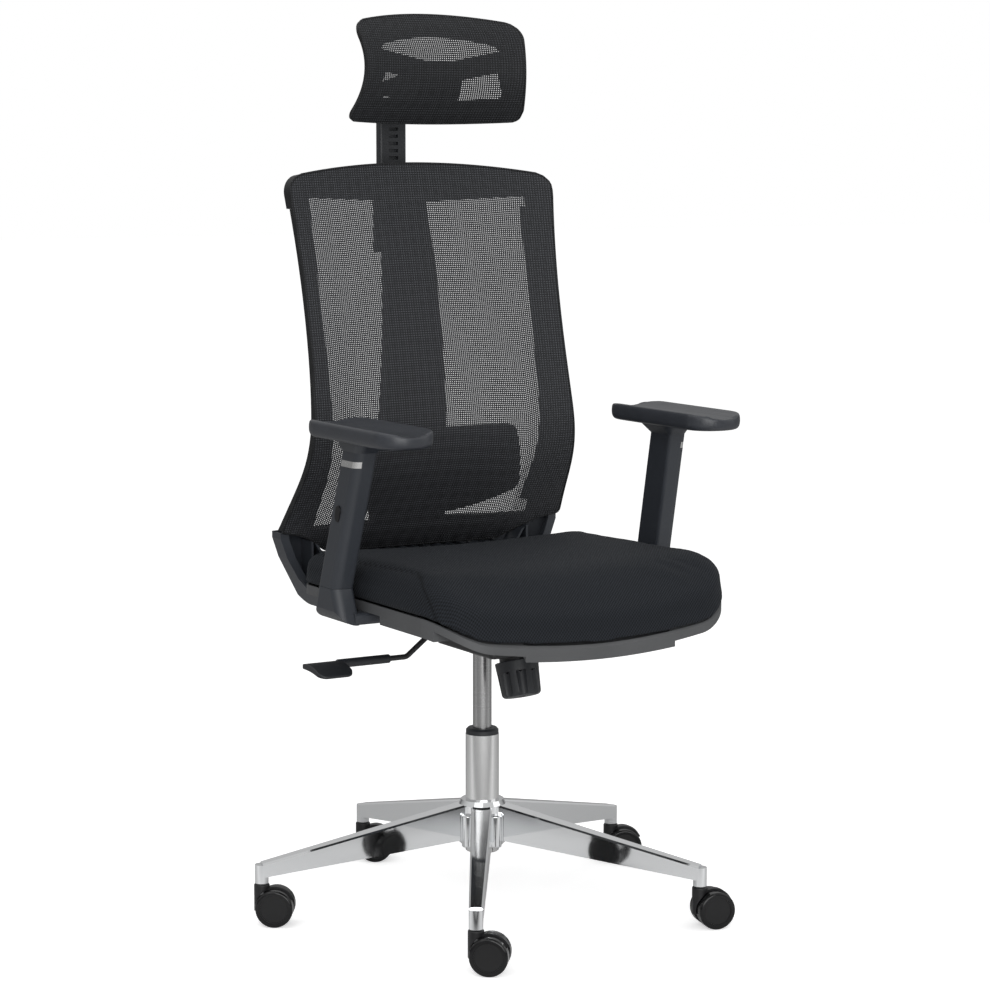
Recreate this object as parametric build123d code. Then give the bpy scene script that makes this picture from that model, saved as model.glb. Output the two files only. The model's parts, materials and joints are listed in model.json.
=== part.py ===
from build123d import *
import math
import os

# Swivel office chair. Millimetres and degrees. +Z is up, the sitter faces -Y and
# the sitter's right hand is at -X. The origin is on the floor under the column.

# Fits and gaps
run_gap = 0.05        # radial gap of a shaft that turns or slides
fixed_gap = 0.15      # gap between pieces that are fastened together
slide_gap = 0.4       # gap between guided mouldings
free_gap = 1.0        # gap between pieces that pass each other freely

# Castors
wheel_radius = 27.5
wheel_width = 17.0
wheel_spacing = 12.0          # gap between the two wheels of a castor
wheel_edge_round = 3.5
wheel_disc_radius = 20.5
wheel_disc_recess = 1.2
castor_trail = 20.0           # stem axis to axle
axle_radius = 4.0
stem_radius = 5.5
stem_insert = 23.0            # length of stem inside the leg
neck_radius = 11.5
castor_headings = (-38.0, -13.0, -25.0, -30.0, -33.0)

# Star base
leg_count = 5
stem_circle_radius = 337.0
first_leg_angle = -121.6
hub_radius = 35.0
hub_rib_radius = 9.0
hub_bottom_z = 98.5
hub_top_z = 166.5
leg_root_width = 31.0
leg_tip_width = 20.0
leg_root_top_z = 159.5
leg_root_depth = 52.0
leg_tip_top_z = 92.5
leg_tip_depth = 21.0
leg_wall = 3.0
leg_bevel = 2.5
socket_radius = 10.0
socket_bottom_z = 61.5

# Gas column
column_radius = 25.0
column_wall = 2.0
column_bottom_z = 87.5
column_top_z = 265.5
collar_height = 9.0
bush_length = 66.0
cylinder_radius = 14.0
cylinder_wall = 2.0
lift_travel = 100.0
socket_mouth_z = 387.5        # where the cylinder enters the mechanism
cylinder_engagement = 36.0
cylinder_overlap = 60.0       # length of cylinder left inside the column when raised
rod_radius = 5.0
valve_radius = 3.0
valve_height = 8.5

# Tilt mechanism
housing_half_width = 54.0
housing_wall = 3.5
housing_front_y = -120.0
housing_rear_y = 46.0
housing_floor_z = 399.5
housing_front_top_z = 452.5
housing_rear_top_z = 431.5
pivot_y = -45.0
pivot_z = 447.5
pivot_radius = 6.0
tilt_range = 14.0
plate_half_width = 74.0
plate_front_y = -112.0
plate_rear_y = 54.0
plate_thick = 4.0
ear_half_length = 22.0
torsion_radius = 13.0
torsion_gap = 24.0

# Tension knob
knob_centre_y = -107.0
knob_centre_z = 365.5
knob_lean = 18.0              # the foot of the knob leans forward
knob_height = 52.0
knob_top_radius = 32.0
knob_foot_radius = 28.5
knob_wall = 3.5
knob_flutes = 8
knob_flute_radius = 8.0
knob_flute_depth = 3.0
bolt_radius = 5.0

# Height lever
lever_y = -18.0
lever_rod_radius = 4.0
lever_pivot_x = -57.0
lever_blade_z = 435.5
lever_drop_x = -87.0
lever_bend_x = -138.0
lever_low_z = 396.5
lever_lift = 5.0
lock_travel = 12.0
grip_inner_x = -166.0
grip_outer_x = -252.0
grip_radius = 6.5
paddle_length = 56.0
paddle_width = 66.0
paddle_thick = 9.0
paddle_droop = 12.0

# Seat
seat_half_width = 242.0
seat_front_y = -334.0
seat_rear_y = 121.0
seat_front_bow = 20.0
seat_front_corner = 80.0
seat_rear_corner = 32.0
rim_z = 495.5
waterfall_y = -248.0
waterfall_radius = 102.0
pan_depth = 26.0
pan_side_depth = 14.0
pan_lip_depth = 11.0
pan_nose_half_width = 122.0
pan_nose_y = -275.0
pan_nose_radius = 116.0
pan_wall = 3.0
pan_side_width = 90.0         # shallow side band of the pan, over the arm brackets
pan_core_half_width = seat_half_width - pan_side_width
pan_step_y = -132.0
cushion_overhang = 4.0
cushion_top_z = 545.5
cushion_rear_fall = 9.0
cushion_dish = 7.0           # how far the sides stand above the middle
cushion_brow_y = -228.0       # where the top starts to fall to the front
cushion_brow_radius = 150.0
cushion_edge_round = 22.0
cushion_foot_round = 5.0
cushion_block = 120.0         # height of the block that the roof trims

# Arms
arm_side_reach = 28.0         # post centre beyond the side of the seat
arm_foot_x = seat_half_width + arm_side_reach
arm_foot_y = -50.0
arm_foot_z = 514.5
arm_lean_in = 0.054
arm_lean_forward = 0.281
arm_post_width = 32.0
arm_post_depth = 54.0
arm_wall = 4.0
arm_bracket_depth = 90.0
arm_bracket_thick = 17.0
arm_bracket_gap = 8.0         # bracket end to the deep middle of the pan
arm_bracket_inner_x = pan_core_half_width + arm_bracket_gap
arm_elbow_radius = 30.0
arm_notch_count = 5
arm_travel = 70.0
pad_length = 262.0
pad_width = 89.0
pad_thick = 28.0
pad_inward = 16.0             # pad centre inward of the post's foot
pad_centre_x = arm_foot_x - pad_inward
pad_centre_y = -128.0
pad_bottom_z = 726.5
pad_dish = 3.5
flange_height = 16.0
flange_width = 50.0
flange_length = 84.0
pad_corner = 40.0
pad_edge_round = 8.0
inlay_drop = 36.5             # below the pad
inlay_z = pad_bottom_z - inlay_drop
inlay_height = 9.0
inlay_depth = 1.4
inlay_start = 6.0            # outward of the post centre
button_z = 622.5
button_height = 24.0
button_width = 14.0
button_proud = 1.6
button_travel = 3.0

# Back
back_top_z = 1108.5
back_shoulder_z = 1088.5
back_top_half_width = 228.0
back_waist_z = 765.5
back_waist_half_width = 220.0
back_kink_z = 551.5
back_kink_half_width = 243.0
back_foot_z = 562.0           # lower corners of the mesh
back_hip_half_width = 203.0   # where the lower edge turns down towards the middle
back_hip_z = 554.0
back_tongue_half_width = 148.0
back_low_z = 522.5
back_low_round = 16.0
back_corner = 28.0
back_bend_z = 686.5
back_bend_y = 104.0           # front of the side rails at the lumbar bend
back_upper_slope = 0.22
back_lower_slope = -0.74
back_bend_round = 45.0
back_top_dish = 32.0
back_low_dish = 6.0
mesh_thick = 1.2
rail_thick = 16.0
rail_top_thick = 26.0
window_top_z = 1049.5         # opening of the frame on the centre line
window_low_z = 569.0
window_top_half_width = 193.0
window_low_half_width = 190.0
window_top_rise = 8.5
window_low_fall = 6.0
window_corner = 4.0
lip_width = 5.0               # deep inner lip of the side rails
lip_depth = 44.0
rail_mitre_top_z = 1041.5
rail_mitre_low_z = 583.5

# Spine, lumbar pad and lower bracket
spine_top_y = 250.0
spine_mid_y = 203.0
spine_low_y = 222.0
spine_mid_z = 845.5
spine_foot_z = 562.5
spine_depth = 22.0
spine_top_half_width = 32.5
spine_low_half_width = 62.0
spine_skin = 4.0
lumbar_half_width = 158.0     # at the lower corners
lumbar_top_half_width = 128.0
lumbar_height = 140.0
lumbar_bottom_z = 572.0
lumbar_corner_rise = 38.0
lumbar_thick = 14.0
lumbar_gap = 7.0
lumbar_travel = 40.0
bracket_rear_y = 236.0
bracket_side_y = 211.0
bracket_bottom_z = 447.5
bracket_depth = 27.0
bracket_bend = 46.0
bracket_skin = 4.0
bracket_rim = 14.0            # front flange of the side walls
bracket_rib = 3.5
bracket_bays = 6
bracket_mid_half_width = 230.0
bracket_low_half_width = 188.0
tongue_front_y = 62.0
tongue_half_width = 118.0

# Headrest
post_y = 280.0
post_width = 46.0
post_thick = 16.0
post_bottom_z = 1030.5
post_wall = 6.0
post_slot_count = 9
post_slot_pitch = 11.0
post_slot_width = 16.0
post_slot_height = 5.0
post_drop = 45.0
post_rise = 10.0
head_hinge_z = 1221.5
head_hinge_radius = 5.0
head_barrel_radius = 10.0
head_bottom_z = 1167.5
head_bottom_bow = 4.0
head_top_z = 1328.5
head_top_bow = 15.0
head_bottom_half_width = 149.0
head_waist_half_width = 134.0
head_top_half_width = 143.0
head_corner = 11.0
head_top_corner = 22.0
head_side_y = 141.0
head_bulge = 46.0
head_dish = 26.0
head_frame_thick = 12.0
head_rail = 34.0
head_stem_half_width = 36.0
head_stem_length = 100.0      # upright of the Y, from the hinge to the fork
head_stem_drop = 40.0         # its middle below the middle of the headrest
head_arm_width = 30.0
head_lug_half_width = 17.0

# Derived places
axle_z = wheel_radius
rod_foot_z = column_bottom_z + 4.0
cylinder_bottom_z = column_top_z - cylinder_overlap
cylinder_top_z = socket_mouth_z + cylinder_engagement
plate_top_z = rim_z - pan_depth
plate_bottom_z = plate_top_z - plate_thick
arm_bracket_mid_y = arm_foot_y - 2.0
leg_angles = [first_leg_angle + 360.0 / leg_count * k for k in range(leg_count)]
far = 900.0


def turned(points):
    """Solid of revolution about Z from (radius, z) points."""
    return revolve(make_face(Plane.XZ * Polyline(*points, close=True)), Axis.Z)


def across(face, half):
    """A side view outline (Y, Z) carried across X to both sides."""
    return extrude(Plane.YZ * face, half, both=True)


def through(face):
    """A front view outline (X, Z) carried right through along Y."""
    return extrude(Plane.XZ * face, far, both=True)


def upright(face, low, high):
    """A plan outline carried from low to high."""
    return Pos(0, 0, low) * extrude(face, high - low)


def block(x0, x1, y0, y1, z0, z1):
    """Box between two corners."""
    box = Box(x1 - x0, y1 - y0, z1 - z0)
    return Pos((x0 + x1) / 2, (y0 + y1) / 2, (z0 + z1) / 2) * box


def polygon(*points):
    return make_face(Polyline(*points, close=True))


def mirrored(shape, side):
    """Shapes are drawn on the +X side; side -1 gives the sitter's right."""
    return shape if side > 0 else mirror(shape, Plane.YZ)


def curved_panel(stations, thick):
    """Panel lofted through level slices (z, half width, side y, dish)."""
    slices = []
    for z, half, side_y, dish in stations:
        back_y = side_y + thick
        front = ThreePointArc((-half, side_y, z), (0, side_y + dish, z), (half, side_y, z))
        rear = ThreePointArc((half, back_y, z), (0, back_y + dish, z), (-half, back_y, z))
        right = Line((half, side_y, z), (half, back_y, z))
        left = Line((-half, back_y, z), (-half, side_y, z))
        slices.append(make_face([front, right, rear, left]))
    return loft(slices)


# Star base and castors
def leg_share(radius):
    return (radius - hub_radius) / (stem_circle_radius - hub_radius)


def leg_section(radius, inset, reach):
    """Leg section across its length: bevelled top, reach below the underside."""
    share = leg_share(radius)
    half = leg_root_width / 2 + share * (leg_tip_width - leg_root_width) / 2 - inset
    top = leg_root_top_z + share * (leg_tip_top_z - leg_root_top_z) - inset
    low = top + inset - leg_root_depth - share * (leg_tip_depth - leg_root_depth) - reach
    bevel = leg_bevel
    outline = polygon(
        (-half, low), (half, low), (half, top - bevel),
        (half - bevel, top), (bevel - half, top), (-half, top - bevel),
    )
    return Plane((radius, 0, 0), x_dir=(0, 1, 0), z_dir=(1, 0, 0)) * outline


def leg_run(inner_r, outer_r, inset, reach):
    return loft([leg_section(inner_r, inset, reach), leg_section(outer_r, inset, reach)], ruled=True)


def base_star():
    """Cast hub with half round ribs and five hollow legs ending in stem sockets."""
    collar = hub_radius - 3
    star = turned([
        (0, hub_bottom_z), (collar, hub_bottom_z), (hub_radius, hub_bottom_z + 3),
        (hub_radius, leg_root_top_z), (collar, hub_top_z), (0, hub_top_z),
    ])
    tip_top = leg_tip_top_z - leg_bevel
    hollow_in = hub_radius + leg_wall
    hollow_out = stem_circle_radius - socket_radius - leg_wall
    rib_height = leg_root_top_z - hub_bottom_z - 12
    for angle in leg_angles:
        turn = Rot(0, 0, angle)
        star += turn * leg_run(hub_radius / 2, stem_circle_radius, 0, 0)
        tip = upright(Circle(socket_radius), socket_bottom_z, tip_top)
        star += turn * Pos(stem_circle_radius, 0, 0) * chamfer(tip.edges().group_by(Axis.Z)[0], 1)
        rib = upright(Circle(hub_rib_radius), hub_bottom_z, hub_bottom_z + rib_height)
        star += turn * Rot(0, 0, 180.0 / leg_count) * Pos(hub_radius, 0, 0) * fillet(rib.edges(), 2.5)
    for angle in leg_angles:
        turn = Rot(0, 0, angle)
        star -= turn * leg_run(hollow_in, hollow_out, leg_wall, leg_wall)
        bore = upright(Circle(stem_radius + run_gap), socket_bottom_z - 1, socket_bottom_z + stem_insert + 1)
        star -= turn * Pos(stem_circle_radius, 0, 0) * bore
    return star - Cylinder(column_radius + fixed_gap / 3, 2 * far)


def castor_place(k):
    spot = Rot(0, 0, leg_angles[k]) * Pos(stem_circle_radius, 0, 0)
    x, y = spot.position.X, spot.position.Y
    return Pos(x, y, 0) * Rot(0, 0, castor_headings[k])


def along_axle(offset):
    """Placement on the axle line: the local Z runs along the axle."""
    return Pos(castor_trail, offset, axle_z) * Rot(-90, 0, 0)


def castor_housing():
    web_half = wheel_spacing / 2 - free_gap
    web_radius = wheel_radius - 2.5
    neck_top = socket_bottom_z - free_gap / 2
    neck_bottom = axle_z - 6
    neck = upright(Circle(neck_radius), neck_bottom, neck_top)
    neck = fillet(neck.edges().group_by(Axis.Z)[-1], 2)
    web = along_axle(-web_half) * extrude(Circle(web_radius), 2 * web_half)
    bridge = block(0, castor_trail, -web_half, web_half, neck_bottom, axle_z + web_radius)
    body = neck + bridge + web
    ring = wheel_width + 2 * free_gap
    for side in (1, -1):
        clear = Cylinder(wheel_radius + 1.3 * free_gap, ring)
        body -= along_axle(side * (web_half + ring / 2)) * clear
    hood = along_axle(0) * (Cylinder(wheel_radius + 2.6, 2 * web_half) - Cylinder(web_radius - 1, far))
    body += hood & block(-far, far, -far, far, axle_z + 12, far)
    body -= block(-far, far, -far, far, -far, axle_z - 17)
    body -= upright(Circle(stem_radius + fixed_gap / 3), axle_z + 4, far)
    return body - along_axle(0) * Cylinder(axle_radius + fixed_gap / 3, far)


def castor_pins():
    """Stem with its retaining groove, and the axle: two separate pins."""
    stem = upright(Circle(stem_radius), axle_z + 4.5, socket_bottom_z + stem_insert)
    groove_z = socket_bottom_z + stem_insert - 9
    groove = upright(Circle(stem_radius + 1) - Circle(stem_radius - 1), groove_z, groove_z + 3)
    stem = chamfer((stem - groove).edges().group_by(Axis.Z)[-1], 1)
    reach = wheel_spacing / 2 + wheel_width - 5
    axle = along_axle(0) * Cylinder(axle_radius, 2 * reach)
    axle_hole = upright(Circle(stem_radius + fixed_gap / 3), axle_z + 4, far)
    return Compound([stem, axle - axle_hole])


def castor_wheel(side):
    inner = wheel_spacing / 2
    bore_depth = wheel_width - 4.5
    wheel = upright(Circle(wheel_radius), 0, wheel_width)
    wheel = fillet(wheel.edges().group_by(Axis.Z)[-1], wheel_edge_round)
    wheel = chamfer(wheel.edges().group_by(Axis.Z)[0], wheel_edge_round / 2)
    wheel -= upright(Circle(wheel_disc_radius), wheel_width - wheel_disc_recess, far)
    hollow = Circle(wheel_radius - 5) - Circle(axle_radius + 5)
    wheel -= upright(hollow, -1, wheel_width - 6)
    wheel -= upright(Circle(axle_radius + run_gap), -1, bore_depth)
    facing = along_axle(inner) if side > 0 else along_axle(-inner) * Rot(180, 0, 0)
    return facing * wheel


# Gas column
def column_tube():
    inner = column_radius - column_wall
    hole = rod_radius + free_gap
    return turned([
        (hole, column_bottom_z), (column_radius - 1, column_bottom_z),
        (column_radius, column_bottom_z + 1), (column_radius, column_top_z),
        (inner, column_top_z), (inner, column_bottom_z + 4), (hole, column_bottom_z + 4),
    ])


def column_bush():
    bore = cylinder_radius + run_gap
    sleeve = column_radius - column_wall - run_gap
    top = column_top_z + collar_height
    return turned([
        (bore, column_top_z - bush_length), (sleeve, column_top_z - bush_length),
        (sleeve, column_top_z + fixed_gap), (column_radius - 0.6, column_top_z + fixed_gap),
        (column_radius - 0.6, top - 3), (column_radius - 3.5, top), (bore, top),
    ])


def piston_rod():
    """Rod with its thrust washers below and the piston head above."""
    foot = rod_foot_z
    washer = column_radius - column_wall - 4
    head_z = cylinder_bottom_z + 14
    head = cylinder_radius - cylinder_wall - run_gap
    return turned([
        (0, column_bottom_z - 2.5), (rod_radius + 3, column_bottom_z - 2.5),
        (rod_radius + 3, column_bottom_z - 0.5), (rod_radius, column_bottom_z - 0.5),
        (rod_radius, foot + 0.3), (washer, foot + 0.3), (washer, foot + 6),
        (rod_radius, foot + 6), (rod_radius, head_z), (head, head_z), (head, head_z + 10), (0, head_z + 10),
    ])


def gas_cylinder():
    inner = cylinder_radius - cylinder_wall
    low = cylinder_bottom_z
    top = cylinder_top_z
    taper = cylinder_radius - 0.9
    guide = rod_radius + run_gap
    pin = valve_radius + run_gap
    return turned([
        (guide, low), (cylinder_radius - 1, low), (cylinder_radius, low + 1),
        (cylinder_radius, socket_mouth_z - 4), (taper, top - 1), (taper - 1, top),
        (pin, top), (pin, top - 10), (inner, top - 10), (inner, low + 8), (guide, low + 8),
    ])


def valve_pin():
    pin = upright(Circle(valve_radius), cylinder_top_z - 22, cylinder_top_z + valve_height)
    return chamfer(pin.edges().group_by(Axis.Z)[-1], 0.6)


# Tilt mechanism
knob_axis = Pos(0, knob_centre_y, knob_centre_z) * Rot(-knob_lean, 0, 0)


def housing_side(inset):
    """Side view of the housing, wedge shaped so the seat can tilt back over it."""
    return polygon(
        (housing_front_y + inset, housing_floor_z + inset),
        (housing_front_y + inset, housing_front_top_z),
        (-12, housing_front_top_z),
        (housing_rear_y - inset, housing_rear_top_z),
        (housing_rear_y - inset, housing_floor_z + inset),
    )


def mechanism_housing():
    body = across(housing_side(0), housing_half_width)
    body = fillet(body.edges().filter_by(Axis.Z), 9)
    body = fillet(body.faces().sort_by(Axis.Z)[0].edges(), 4)
    raised = across(housing_side(housing_wall), housing_half_width - housing_wall)
    cavity = raised + Pos(0, 0, 8) * raised
    cup_outer = cylinder_radius + 9
    boss = turned([
        (0, socket_mouth_z), (cylinder_radius + 5, socket_mouth_z), (cup_outer, housing_floor_z),
        (cup_outer, cylinder_top_z - 2), (0, cylinder_top_z - 2),
    ])
    sleeve_top = (housing_floor_z + 2 - knob_centre_z) / math.cos(math.radians(knob_lean))
    sleeve_low = knob_height / 2 - 8
    sleeve = knob_axis * upright(Circle(knob_top_radius - knob_wall - 4), sleeve_low, sleeve_top + 8)
    sleeve &= block(-far, far, -far, far, -far, housing_floor_z + housing_wall)
    shell = (body - cavity) + boss + sleeve
    fit = fixed_gap / 3
    taper = cylinder_radius - 0.9
    bore = turned([
        (0, socket_mouth_z - 4), (cylinder_radius + fit, socket_mouth_z - 4),
        (taper + fit, cylinder_top_z - 1), (taper + fit, cylinder_top_z + 9), (0, cylinder_top_z + 9),
    ])
    shell -= bore
    shell -= knob_axis * Cylinder(bolt_radius + slide_gap, 2 * far)
    shell -= Pos(0, pivot_y, pivot_z) * Rot(0, 90, 0) * Cylinder(pivot_radius + fixed_gap / 3, far)
    slot = slider_half_y + slide_gap
    slot_low = lever_pivot_z - slider_half_z - slide_gap
    slot_high = lever_pivot_z + slider_half_z + slide_gap
    slot_end = -housing_half_width + 2 * housing_wall
    return shell - block(-far, slot_end, lever_y - slot, lever_y + slot, slot_low, slot_high)


def tilt_shaft():
    reach = housing_half_width + plate_thick + 2 * free_gap
    shaft = Cylinder(pivot_radius, 2 * reach)
    for end in (1, -1):
        head = Cylinder(pivot_radius + 3, 3)
        shaft += Pos(0, 0, end * (reach + 1.5)) * fillet(head.edges(), 1)
    return Pos(0, pivot_y, pivot_z) * Rot(0, 90, 0) * shaft


def torsion_sleeves():
    """Rubber sleeves on the tilt shaft that wind up as the seat leans back."""
    sleeves = []
    for side in (1, -1):
        tube = Circle(torsion_radius) - Circle(pivot_radius + run_gap)
        near = torsion_gap / 2
        length = housing_half_width - housing_wall - near - free_gap
        start = near if side > 0 else -near - length
        sleeve = Pos(start, pivot_y, pivot_z) * Rot(0, 90, 0) * extrude(tube, length)
        sleeves.append(chamfer(sleeve.edges().filter_by(GeomType.CIRCLE).group_by(Axis.X)[0], 1))
    return Compound(sleeves)


def knob_body():
    top = knob_height / 2
    cup = Solid.make_cone(knob_foot_radius, knob_top_radius, knob_height, Plane((0, 0, -top)))
    cup = fillet(cup.edges().group_by(Axis.Z)[0], 6)
    cup = fillet(cup.edges().group_by(Axis.Z)[-1], 1.5)
    hollow = Solid.make_cone(
        knob_foot_radius - knob_wall - knob_flute_depth,
        knob_top_radius - knob_wall,
        knob_height - 12,
        Plane((0, 0, 12 - top)),
    )
    cup -= hollow
    for k in range(knob_flutes):
        flute_at = knob_foot_radius + knob_flute_radius - knob_flute_depth
        flute = Cylinder(knob_flute_radius, knob_height - 14)
        cup -= Rot(0, 0, 360.0 / knob_flutes * (k + 0.5)) * Pos(flute_at, 0, -9) * flute
    return cup - Cylinder(bolt_radius + fixed_gap / 3, 2 * far)


def tension_knob():
    return knob_axis * knob_body()


def tension_bolt():
    low = 4 - knob_height / 2
    high = (pivot_z - 2 - knob_centre_z) / math.cos(math.radians(knob_lean))
    return knob_axis * upright(Circle(bolt_radius), low, high)


def tension_yoke():
    """Nut with side bars that winds the rubber sleeves as the bolt turns."""
    along = (pivot_z - 14 - knob_centre_z) / math.cos(math.radians(knob_lean))
    nut = Cylinder(bolt_radius + 5, 12)
    bar = Rot(0, 90, 0) * Cylinder(4, 2 * (housing_half_width - housing_wall - 10))
    return knob_axis * Pos(0, 0, along) * (nut + bar - Cylinder(bolt_radius + slide_gap, far))


# Height lever and tilt lock
lever_pivot_z = lever_blade_z
slider_half_y = 9.0
slider_half_z = 11.0
slider_inner_x = lever_pivot_x + 13.0
slider_outer_x = lever_pivot_x - 13.0
lever_pin_radius = 2.0


def tilt_lock_slider():
    body = block(
        slider_outer_x, slider_inner_x, lever_y - slider_half_y, lever_y + slider_half_y,
        lever_pivot_z - slider_half_z, lever_pivot_z + slider_half_z,
    )
    body = fillet(body.edges().filter_by(Axis.X), 3)
    half = lever_rod_radius + slide_gap
    window = slider_half_z - 3
    body -= block(
        -far, far, lever_y - half, lever_y + half, lever_pivot_z - window, lever_pivot_z + window
    )
    pin = Rot(90, 0, 0) * Cylinder(lever_pin_radius, 2 * slider_half_y)
    return body + Pos(lever_pivot_x, lever_y, lever_pivot_z) * pin


def lever_rod():
    path = FilletPolyline(
        (-10, lever_y, lever_blade_z),
        (lever_drop_x, lever_y, lever_blade_z),
        (lever_bend_x, lever_y, lever_low_z),
        (grip_inner_x - 40, lever_y, lever_low_z),
        radius=12,
    )
    rod = sweep(Plane((-10, lever_y, lever_blade_z), z_dir=(-1, 0, 0)) * Circle(lever_rod_radius), path=path)
    blade = block(-14, 26, lever_y - 7, valve_radius + 5, lever_blade_z - 2, lever_blade_z + 2)
    rod += fillet(blade.edges().filter_by(Axis.Z), 4)
    pin = Rot(90, 0, 0) * Cylinder(lever_pin_radius + run_gap, far)
    return rod - Pos(lever_pivot_x, lever_y, lever_pivot_z) * pin


def lever_handle():
    """Moulded grip over the rod with a curved paddle that droops to the front."""
    length = grip_inner_x - grip_outer_x
    grip = fillet(Cylinder(grip_radius, length).edges(), 2)
    grip = Pos((grip_inner_x + grip_outer_x) / 2, lever_y, lever_low_z) * Rot(0, 90, 0) * grip
    front = lever_y - 0.72 * paddle_width
    rear = lever_y + 0.28 * paddle_width
    top = lever_low_z + paddle_thick / 2
    curve = ThreePointArc((front, top - paddle_droop), (lever_y - 8, top), (rear, top - 4))
    under = ThreePointArc(
        (rear, top - 4 - paddle_thick * 0.6), (lever_y - 8, top - paddle_thick),
        (front, top - paddle_droop - paddle_thick * 0.45),
    )
    sides = [Line(curve @ 1, under @ 0), Line(under @ 1, curve @ 0)]
    outer = grip_outer_x - paddle_length + 6
    slab = across(make_face([curve, under] + sides), far)
    plan = polygon((grip_outer_x + 6, rear), (outer, rear), (outer, front), (grip_outer_x + 6, front))
    plan = fillet(plan.vertices(), 13)
    paddle = slab & upright(plan, 0, far)
    paddle = fillet(paddle.edges().filter_by(lambda e: e.length > 30), 1.6)
    hole = Pos(grip_inner_x - 20, lever_y, lever_low_z) * Rot(0, 90, 0)
    rod_end = grip_inner_x - 40
    bore = block(rod_end - 0.5, grip_inner_x + 1, -far, far, -far, far)
    return grip + paddle - (hole * Cylinder(lever_rod_radius + fixed_gap / 3, far) & bore)


# Seat
def seat_plan(grow):
    half = seat_half_width + grow
    front = seat_front_y - grow
    rear = seat_rear_y + grow
    nose = ThreePointArc((-half, front + seat_front_bow), (0, front), (half, front + seat_front_bow))
    plan = make_face([
        nose,
        Line((half, front + seat_front_bow), (half, rear)),
        Line((half, rear), (-half, rear)),
        Line((-half, rear), (-half, front + seat_front_bow)),
    ])
    corners = plan.vertices().sort_by(Axis.Y)
    plan = fillet(corners[:2], seat_front_corner + grow)
    corners = plan.vertices().sort_by(Axis.Y)
    return fillet(corners[-2:], seat_rear_corner + grow)


def nose_curve(z, radius):
    """Side view line: level at z, then an arc of the radius over the front."""
    reach = waterfall_y - seat_front_y + 8
    turn = math.asin(reach / radius)
    mid = (waterfall_y - radius * math.sin(turn / 2), z - radius * (1 - math.cos(turn / 2)))
    end = (waterfall_y - reach, z - radius * (1 - math.cos(turn)))
    flat = Line((seat_rear_y + 40, z), (waterfall_y, z))
    return [flat, ThreePointArc((waterfall_y, z), mid, end)], end


def nose_band(low, high):
    """Side view region between two such lines, each given as (z, radius)."""
    under, under_end = nose_curve(*low)
    over, over_end = nose_curve(*high)
    rear = seat_rear_y + 40
    front = seat_front_y - 40
    return make_face(under + over + [
        Line(under_end, (front, under_end[1])),
        Line((front, under_end[1]), (front, over_end[1])),
        Line((front, over_end[1]), over_end),
        Line((rear, high[0]), (rear, low[0])),
    ])


def pan_notch(grow):
    """Raised side bands behind the step, where the arm brackets pass."""
    low = rim_z - pan_depth - 40
    high = rim_z - pan_side_depth + grow
    inner = pan_core_half_width - grow
    one = block(inner, far, pan_step_y - grow, far, low, high)
    return one + mirror(one, Plane.YZ)


def pan_body(inset, top):
    """Tray drawn in by inset: deep in the middle and along the front flanks."""
    floor = (rim_z - pan_depth + inset, pan_nose_radius)
    body = upright(seat_plan(-inset), 0, far) & across(nose_band(floor, (top, waterfall_radius)), far)
    lip = (rim_z - pan_lip_depth + inset, waterfall_radius)
    below = across(nose_band((rim_z - 3 * pan_depth, pan_nose_radius), lip), far)
    corner = block(pan_nose_half_width - inset, far, -far, pan_nose_y + inset, 0, far) & below
    body -= corner + mirror(corner, Plane.YZ)
    return body - pan_notch(inset)


def seat_pan():
    """Moulded tray under the padding, with bosses for the plate bolts."""
    pan = pan_body(0, rim_z) - pan_body(pan_wall, rim_z + 60)
    for x, y in plate_bolt_spots():
        pan += upright(Pos(x, y) * Circle(bolt_boss_radius), plate_top_z, rim_z - 4)
    spots = plate_bolt_spots() + tongue_bolt_spots()
    spots += [(side * arm_bolt_x, y) for side in (1, -1) for y in arm_bolt_rows()]
    for x, y in spots:
        pan -= upright(Pos(x, y) * Circle(bolt_shank + slide_gap), 0, far)
    return pan


def cushion_top(y):
    """Top of the padding along the centre: nearly level, then over the front edge."""
    ahead = cushion_brow_y - y
    if ahead <= 0:
        return cushion_top_z - cushion_rear_fall * (ahead / (seat_rear_y - cushion_brow_y)) ** 2
    return cushion_top_z - cushion_brow_radius + math.sqrt(cushion_brow_radius ** 2 - ahead ** 2)


def cushion_roof():
    """Block under the dished top surface."""
    half = seat_half_width + 30
    rise = cushion_dish * (half / seat_half_width) ** 2
    floor = rim_z - waterfall_radius - 50
    start = seat_front_y - cushion_overhang - 10
    end = seat_rear_y + cushion_overhang + 10
    slices = []
    for k in range(9):
        y = start + (end - start) * k / 8
        edge_z = cushion_top(y) + rise
        slices.append(make_face([
            ThreePointArc((-half, y, edge_z), (0, y, edge_z - rise), (half, y, edge_z)),
            Line((half, y, edge_z), (half, y, floor)),
            Line((half, y, floor), (-half, y, floor)),
            Line((-half, y, floor), (-half, y, edge_z)),
        ]))
    return loft(slices)


def seat_cushion():
    """Upholstered pad with a dished top, rounded border and drawn-in foot."""
    foot_line = (rim_z + 2 * fixed_gap, waterfall_radius)
    base = across(nose_band(foot_line, (rim_z + cushion_block, waterfall_radius)), far)
    pad = upright(seat_plan(cushion_overhang), 0, far) & base & cushion_roof()
    pad = fillet(pad.faces().sort_by(Axis.Z)[-1].edges(), cushion_edge_round)
    foot = [e for e in pad.edges() if e.bounding_box().max.Z < rim_z + 1]
    return fillet(foot, cushion_foot_round)


# Fasteners
bolt_shank = 4.0
bolt_head = 7.0
bolt_head_height = 5.0
bolt_boss_radius = 9.0
arm_bolt_x = arm_bracket_inner_x + 28.0


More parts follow.
